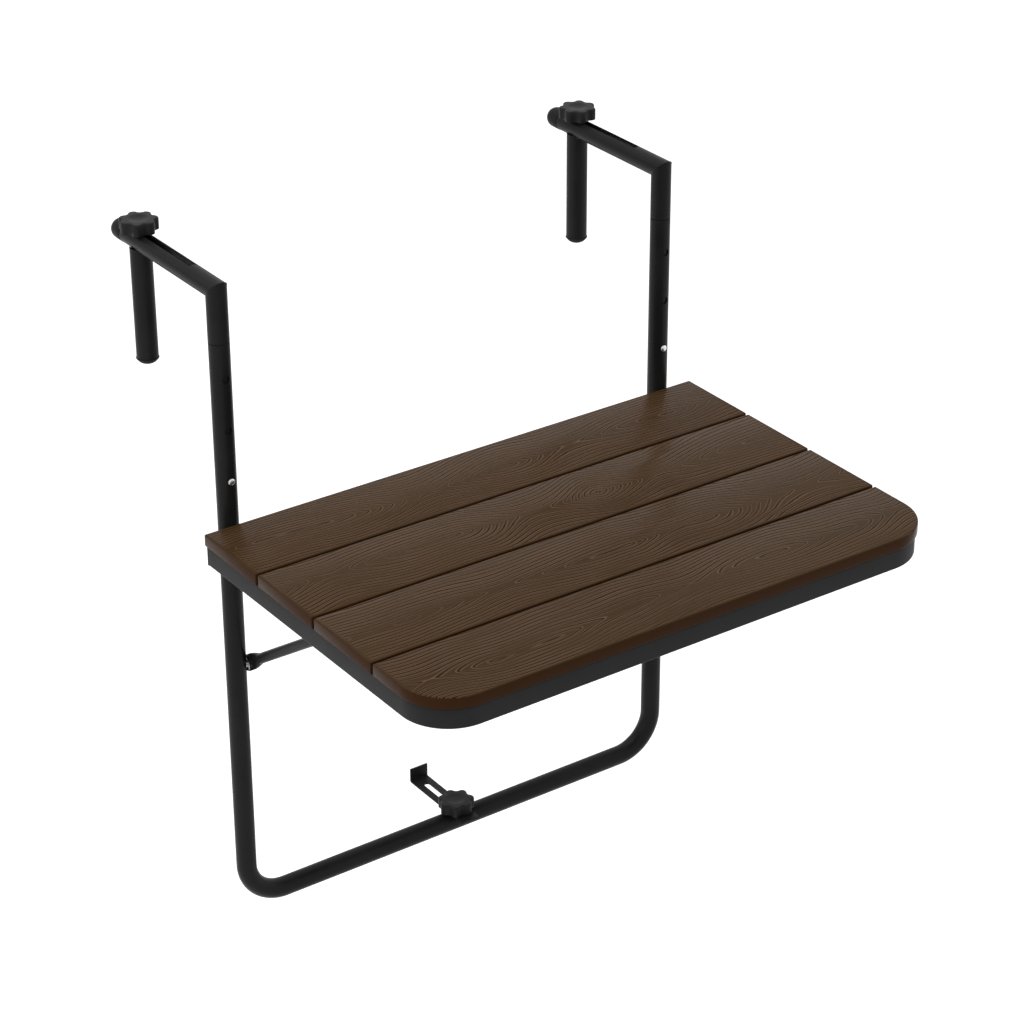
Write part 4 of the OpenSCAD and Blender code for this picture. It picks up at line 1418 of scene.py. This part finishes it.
@dataclass
class Tabletop:
    """Four embossed planks on a steel rim with a rear rail and two bearers.

    The access hole is given by its radius.
    """

    shop: Workshop
    rim_width: float = 15 * MM
    rim_wall: float = 1.5 * MM
    rim_inset: float = 2 * MM
    tube_corner: float = 2.2 * MM
    bore_corner: float = 0.9 * MM
    edge: float = 1.4 * MM
    plank_corner: float = 1.2 * MM
    corner: float = 54 * MM
    access_hole: float = 5 * MM
    access_drill: Span = (-2 * MM, 4 * MM)
    bearer_bend: float = 1.6 * MM
    plug_edge: float = 0.25 * MM
    catch_edge: float = 0.35 * MM

    def build(self) -> None:
        """Makes the planks and the steel below them."""
        self.planks()
        self.rim()
        self.rails()
        self.shop.keep({"plank_screws": Slot.STEEL})
        self.shop.copy_of("rim_plugs", "tube_plugs", "table", Slot.CAP, self.plug_edge)
        self.shop.copy_of("brace_catches", "catch_blocks", "table", Slot.RIM, self.catch_edge)

    def planks(self) -> None:
        """Makes each plank as a board with soft edges; the front one has round corners."""
        low, high = self.shop.span("rear_plank")
        width, depth, bottom, top = high[0] - low[0], high[1] - low[1], low[2], high[2]
        board = slab(round_box(width, depth, self.plank_corner, 3), bottom, top, self.edge)
        middle = self.shop.span("middle_planks")
        for name, node, y in (("plank_rear", "rear_plank", (low[1] + high[1]) / 2),
                              ("plank_second", "middle_planks", middle[1][1] - depth / 2),
                              ("plank_third", "middle_planks", middle[0][1] + depth / 2)):
            self.shop.make(name, board.moved(y=y), "table", Slot.PLANK, node)
        low, high = self.shop.span("front_plank")
        front = slab(self.front_plan(low, high), low[2], high[2], self.edge)
        self.shop.make("plank_front", front, "table", Slot.PLANK, "front_plank")

    def front_plan(self, low: np.ndarray, high: np.ndarray) -> np.ndarray:
        """Plan of the front plank: quarter circles at the front, small ones at the rear.

        Args:
            low: lowest corner of the plank.
            high: highest corner.

        Returns:
            The plan, anticlockwise.
        """
        small, big, arcs = self.plank_corner, self.corner, []
        for turn, radius, steps, x, y in (
            (0.0, small, 3, high[0] - small, high[1] - small),
            (0.25, small, 3, low[0] + small, high[1] - small),
            (0.5, big, 30, low[0] + big, low[1] + big),
            (0.75, big, 30, high[0] - big, low[1] + big),
        ):
            t = quarter(steps) + turn * TURN
            arcs.append(np.stack([x + radius * np.cos(t), y + radius * np.sin(t)], 1))
        return np.concatenate(arcs)

    def box_tube(self, path: np.ndarray, wide: float, tall: float) -> Shell:
        """Rectangular tube along a level path.

        Args:
            path: the path's points.
            wide: width across the path.
            tall: height.

        Returns:
            The surface.
        """
        outer = round_box(wide, tall, self.tube_corner)
        inner = round_box(wide - 2 * self.rim_wall, tall - 2 * self.rim_wall, self.bore_corner)
        return pipe(path, outer, inner, (0, 0, 1))

    def rim(self) -> None:
        """Makes the bent rectangular tube of the rim, with its access holes below.

        It is a rounded rectangle with its bore, carried forward, across and back.
        """
        low, high = self.shop.span("table_rim")
        wide, z = self.rim_width, (low[2] + high[2]) / 2
        x, front, rear = high[0] - wide / 2, low[1] + wide / 2, high[1]
        path = bent_path([(-x, rear, z), (-x, front, z), (x, front, z), (x, rear, z)],
                         self.corner - self.rim_inset - wide / 2, 3)
        rim = loose_object("rim_tube", self.box_tube(path, wide, high[2] - low[2]))
        first, last = self.shop.span("rear_plank"), self.shop.span("front_plank")
        pitch = (first[0][1] - last[0][1]) / 3
        rows = [(first[0][1] + first[1][1]) / 2 - pitch * k for k in range(4)]
        start, end = (low[2] + reach for reach in self.access_drill)
        carve(rim, [rod((s * x, y, start), (s * x, y, end), self.access_hole)
                    for s in (-1, 1) for y in rows])
        self.shop.fit(rim, "table", Slot.RIM, "table_rim")

    def rails(self) -> None:
        """Makes the rear rail as a box tube, and the bearers as channels open below.

        A bearer's section is a line up one flank, round two quarter circles and down the
        other flank, thickened by half the wall to each side.
        """
        low, high = self.shop.span("rear_rail")
        _, y, z = self.shop.middle("rear_rail")
        path = np.array([(x, y, z) for x in (low[0], low[0] / 2, high[0] / 2, high[0])])
        self.shop.make("rear_rail_tube", self.box_tube(path, high[1] - low[1], high[2] - low[2]),
                       "table", Slot.RIM, "rear_rail")
        for side in Side:
            low, high = self.shop.span(side.named("bearer"))
            half = (high[0] - low[0] - self.rim_wall) / 2
            r, a, top = self.bearer_bend, quarter(5), high[2] - self.rim_wall / 2
            right = np.stack([half - r + r * np.cos(a), top - r + r * np.sin(a)], 1)
            line = np.concatenate([[(half, low[2])], right, (right * (-1, 1))[::-1],
                                   [(-half, low[2])]])
            x = (low[0] + high[0]) / 2
            section = strip_section(line, self.rim_wall / 2) * (-1, 1)
            channel = sweep(np.array([(x, low[1], 0), (x, high[1], 0)]), section, (0, 0, 1))
            self.shop.make(side.named("bearer_channel"), channel, "table", Slot.RIM,
                           side.named("bearer"))


@dataclass
class Brace:
    """The diagonal brace: a bent round tube whose ends are pressed flat."""

    shop: Workshop
    radius: float = 5.5 * MM
    length: float = 240 * MM
    bend: float = 30 * MM
    width: float = 17.3 * MM
    thick: float = 2.8 * MM
    flat: float = 12 * MM
    taper: float = 12 * MM
    washer: float = 1.3 * MM
    washer_hole: float = 3.15 * MM
    washer_edge: float = 0.3 * MM

    def build(self) -> None:
        """Makes the brace tube with its bolts and washers.

        The section is a superellipse |u / a|^n + |v / b|^n = 1 that goes from a circle,
        n = 2, to a flat bar, n = 8, with a soft step over the taper.
        """
        _, high = self.shop.span("brace_frame")
        _, y, z = self.shop.middle("brace_inserts")
        leg, length = high[0] - self.radius, self.length
        lean = math.asin((high[2] - self.radius - z) / length)
        path = self.with_stations(bent_path(
            [(-leg, 0, 0), (-leg, -length, 0), (leg, -length, 0), (leg, 0, 0)], self.bend, 4))
        reach = -path[:, 1]
        share = np.clip((reach - self.flat) / self.taper, 0, 1)
        share = share * share * (3 - 2 * share)
        half_w, half_t = (size / 2 + (self.radius - size / 2) * share
                          for size in (self.width, self.thick))
        tip = np.clip(path[:, 1] / (self.width / 2), 0, 1)
        half_w = half_w * np.clip(np.sqrt(1 - tip**2), 0.04, 1)
        power = 2 / (2 + 6 * (1 - share))
        u, v = (np.sign(w) * np.abs(w) ** power[:, None] * half[:, None]
                for w, half in zip(circle(1.0, 48).T, (half_t, half_w)))
        centre = path.copy()
        centre[:, 0] += (self.radius - half_t) * np.sign(path[:, 0])
        side, along = path_frames(path, (0, 0, 1))
        turn = ((1, 0, 0), (0, math.cos(lean), -math.sin(lean)),
                (0, math.sin(lean), math.cos(lean)))
        shell = skin(rings(centre, side, along, np.stack([u, v], 2))).turned(turn)
        self.shop.make("brace_tube", shell.moved(0, y, z), "brace", Slot.TUBE, "brace_frame")
        self.hardware(y, z)

    def with_stations(self, path: np.ndarray) -> np.ndarray:
        """Adds close stations to the two straight legs, and the round ends of the straps.

        Args:
            path: the bent path with plain legs.

        Returns:
            The path with a station wherever the section changes.
        """
        tips = self.width / 2 * np.sin(quarter(8)[::-1])
        down = np.linspace(-self.flat, -self.flat - self.taper, 14)
        ys = np.concatenate([tips, [-self.flat / 2], down])
        left = np.stack([np.full(len(ys), path[0, 0]), ys, np.zeros(len(ys))], 1)
        return np.concatenate([left, path[1:-1], left[::-1] * (-1, 1, 1)])

    def hardware(self, y: float, z: float) -> None:
        """Makes the domed pivot bolts, and the bright washers on both sides of the brace.

        A washer's profile is a rectangle with its two outer corners cut off.

        Args:
            y: place of the pivot.
            z: height of the pivot.
        """
        self.shop.copy_of("brace_bolts", "pivot_bolts", "frame", Slot.STEEL)
        self.shop.copy_of("hinge_bolts", "hinge_bolt_set", "frame", Slot.STEEL)
        low, high = self.shop.span("brace_washers")
        r, hole = (high[2] - low[2]) / 2, self.washer_hole
        soft, thick = self.washer_edge, self.washer
        profile = np.array([(hole, 0), (r - soft, 0), (r, soft), (r, thick - soft),
                            (r - soft, thick), (hole, thick)])
        washer = turned_body(profile, 56, ring=True).turned(ALONG_X)
        pair = [washer.moved(x, y, z) for x in (high[0] - thick, low[0])]
        self.shop.make("washers", joined(pair), "frame", Slot.STEEL, "brace_washers")


@dataclass
class Bracket:
    """The slotted lower bracket with its upturned end and its stud."""

    shop: Workshop
    thick: float = 2 * MM
    bend: float = 1.6 * MM
    edge: float = 0.45 * MM
    slot_width: float = 7 * MM
    slot_corner: float = 3.45 * MM
    slot_front: float = 10 * MM
    slot_rear: float = 14.5 * MM
    slot_over: float = 4 * MM
    stud_sunk: float = 0.1 * MM
    # Radius and height in millimetres
    stud_head: tuple[Span, ...] = ((4.6, 0), (4.8, 0.2), (4.8, 1.8), (4.6, 2))

    def build(self) -> None:
        """Makes the bent strip, cuts its slot and adds the stud.

        The strip is a rounded rectangle carried back and up round one bend.
        """
        low, high = self.shop.span("bracket")
        z, y, over = low[2] + self.thick / 2, high[1] - self.thick / 2, self.slot_over
        path = bent_path([(0, low[1], z), (0, y, z), (0, y, high[2])], self.bend, 8)
        section = round_box(self.thick, high[0] - low[0], self.edge, 4)
        strip = loose_object("bracket_strip", sweep(path, section, (1, 0, 0)))
        front, rear = low[1] + self.slot_front, high[1] - self.slot_rear
        plan = round_box(self.slot_width, rear - front, self.slot_corner, 12)
        slot = slab(plan, z - over, z + over, TOOL_EDGE, 1)
        carve(strip, [slot.moved(y=(front + rear) / 2)])
        self.shop.fit(strip, "lower_bracket", Slot.TUBE, "bracket")
        low, high = self.shop.span("bracket_stud")
        shell = stud(self.stud_head, 40, (low[2], high[2]), self.stud_sunk)
        self.shop.make("bracket_threaded_stud", shell.moved(y=(low[1] + high[1]) / 2), "frame",
                       Slot.STEEL, "bracket_stud")


# Studio


@dataclass(frozen=True)
class Lamp:
    """A soft square lamp that points at the table."""

    name: str
    spot: Point
    size: float
    watts: float
    mirrored: bool = True


@dataclass
class Studio:
    """Pale floor, soft lamps and the camera at the photograph's angle."""

    floor_height: float = -1.05
    floor_reach: float = 30.0
    floor_shade: float = 0.85
    floor_range: Span = (2.0, 7.0)
    floor_near: float = 1.8
    floor_far: float = 2.7
    ambient: float = 0.38
    aim: Point = (0, -0.1, -0.3)
    camera_spot: Point = (-1.557776, -2.340626, 1.17966)
    camera_turn: Point = (-35.027, 27.994, -0.219)
    focal_px: float = 3054.4
    frame_px: float = 1024.0
    sensor: float = 36.0
    clip: Span = (0.05, 100.0)
    lamps: tuple[Lamp, ...] = (
        Lamp("lamp_top", (-0.6, 0.5, 3.2), 2.6, 44.0),
        Lamp("lamp_left", (-3.0, -0.6, 1.2), 3.2, 22.0),
        Lamp("lamp_rear", (1.2, 3.0, 1.6), 2.2, 17.5, False),
        Lamp("lamp_right", (2.4, -1.6, 0.1), 0.9, 3.7),
    )

    def build(self) -> None:
        """Sets the floor, world, lamps, camera and view."""
        self.floor()
        self.world()
        self.hang_lamps()
        self.camera()
        bpy.context.scene.view_settings.view_transform = "Standard"

    def floor(self) -> None:
        """Makes a wide matt floor that looks white and gives a plain grey's light.

        Where it is seen, its colour rises with the distance from the middle of the scene,
        so that it stays white where less light falls. Little of the shadow is left there.
        """
        plan = np.array([(-1, -1), (1, -1), (1, 1), (-1, 1)]) * self.floor_reach
        points = np.column_stack([plan, np.full(4, self.floor_height)])
        floor = loose_object("studio_floor", Shell(points, np.array([[0, 1, 2, 3]])))
        g = Graph.named("floor_paint")
        away = g.node("ShaderNodeVectorMath", {0: g.place()}, operation="LENGTH")
        white = g.spread(away.outputs["Value"], *self.floor_range, self.floor_near, self.floor_far)
        tint = g.blend(g.seen(), (self.floor_shade,) * 3 + (1.0,), white)
        paint, nodes = g.node("ShaderNodeBsdfDiffuse", {"Color": tint}), g.owner.node_tree.nodes
        g.join(paint.outputs[0], nodes["Material Output"].inputs["Surface"])
        nodes.remove(nodes["Principled BSDF"])
        floor.data.materials.append(g.owner)

    def world(self) -> None:
        """Makes the surroundings: white where they are seen or mirrored, dimmer as light."""
        g = Graph(bpy.data.worlds.new("studio_air"))
        air = g.owner.node_tree.nodes["Background"]
        g.join((1, 1, 1, 1), air.inputs["Color"])
        g.join(g.spread(g.seen(), 0.0, 1.0, self.ambient, 1.0), air.inputs["Strength"])
        bpy.context.scene.world = g.owner

    def hang_lamps(self) -> None:
        """Hangs the lamps: above, to the left, behind, and a weak one low to the right."""
        for lamp in self.lamps:
            light = bpy.data.lights.new(lamp.name, "AREA")
            light.shape, light.size, light.energy = "SQUARE", lamp.size, lamp.watts
            made = bpy.data.objects.new(lamp.name, light)
            bpy.context.scene.collection.objects.link(made)
            made.location = lamp.spot
            ahead = Vector(self.aim) - Vector(lamp.spot)
            made.rotation_euler = ahead.to_track_quat("-Z", "Y").to_euler()
            made.visible_glossy = lamp.mirrored

    def camera(self) -> None:
        """Places the camera that was fitted to the photograph."""
        around, up, roll = (math.radians(v) for v in self.camera_turn)
        back = Vector((math.sin(around) * math.cos(up), -math.cos(around) * math.cos(up),
                       math.sin(up)))
        right = Vector((math.cos(around), math.sin(around), 0))
        above = back.cross(right)
        turned_right = right * math.cos(roll) + above * math.sin(roll)
        turned_up = above * math.cos(roll) - right * math.sin(roll)
        data = bpy.data.cameras.new("photo_camera")
        data.sensor_fit, data.sensor_width = "HORIZONTAL", self.sensor
        data.lens = self.focal_px / self.frame_px * data.sensor_width
        data.clip_start, data.clip_end = self.clip
        camera = bpy.data.objects.new("photo_camera", data)
        bpy.context.scene.collection.objects.link(camera)
        turn = Matrix((turned_right, turned_up, back)).transposed().to_4x4()
        camera.matrix_world = Matrix.Translation(self.camera_spot) @ turn
        bpy.context.scene.camera = camera


def main() -> None:
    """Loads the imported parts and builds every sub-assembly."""
    logging.basicConfig(level=logging.INFO, format="%(message)s")
    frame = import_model()
    Studio().build()
    rear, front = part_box("rear_plank"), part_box("front_plank")
    depth, pitch = rear[1].y - rear[0].y, (rear[0].y - front[0].y) / 3
    planks = EmbossedPlank("embossed_plank", rear[1].y + (pitch - depth) / 2, pitch, pitch / 2,
                           rear[1].z, rear[1].x)
    shop, tubing = Workshop(Finishes(planks), frame), Tubing()
    LowerFrame(shop, tubing).build()
    for side, turn in ((Side.LEFT, 133.0), (Side.RIGHT, 47.0)):
        Hook(shop, tubing, side).build()
        Clamp(shop, tubing, side).build()
        StarKnob(shop, side.named("clamp_knob"), side.named("star_knob"), side.named("knob"),
                 turn=turn).build()
        shop.keep({side.named("knob_insert"): Slot.BRASS})
    Tabletop(shop).build()
    Brace(shop).build()
    Bracket(shop).build()
    StarKnob(shop, "bracket_knob", "lower_star_knob", "lower_knob").build()
    shop.keep({"bracket_knob_insert": Slot.BRASS})
    LOG.info("%d new pieces", shop.count)


if __name__ == "__main__":
    main()
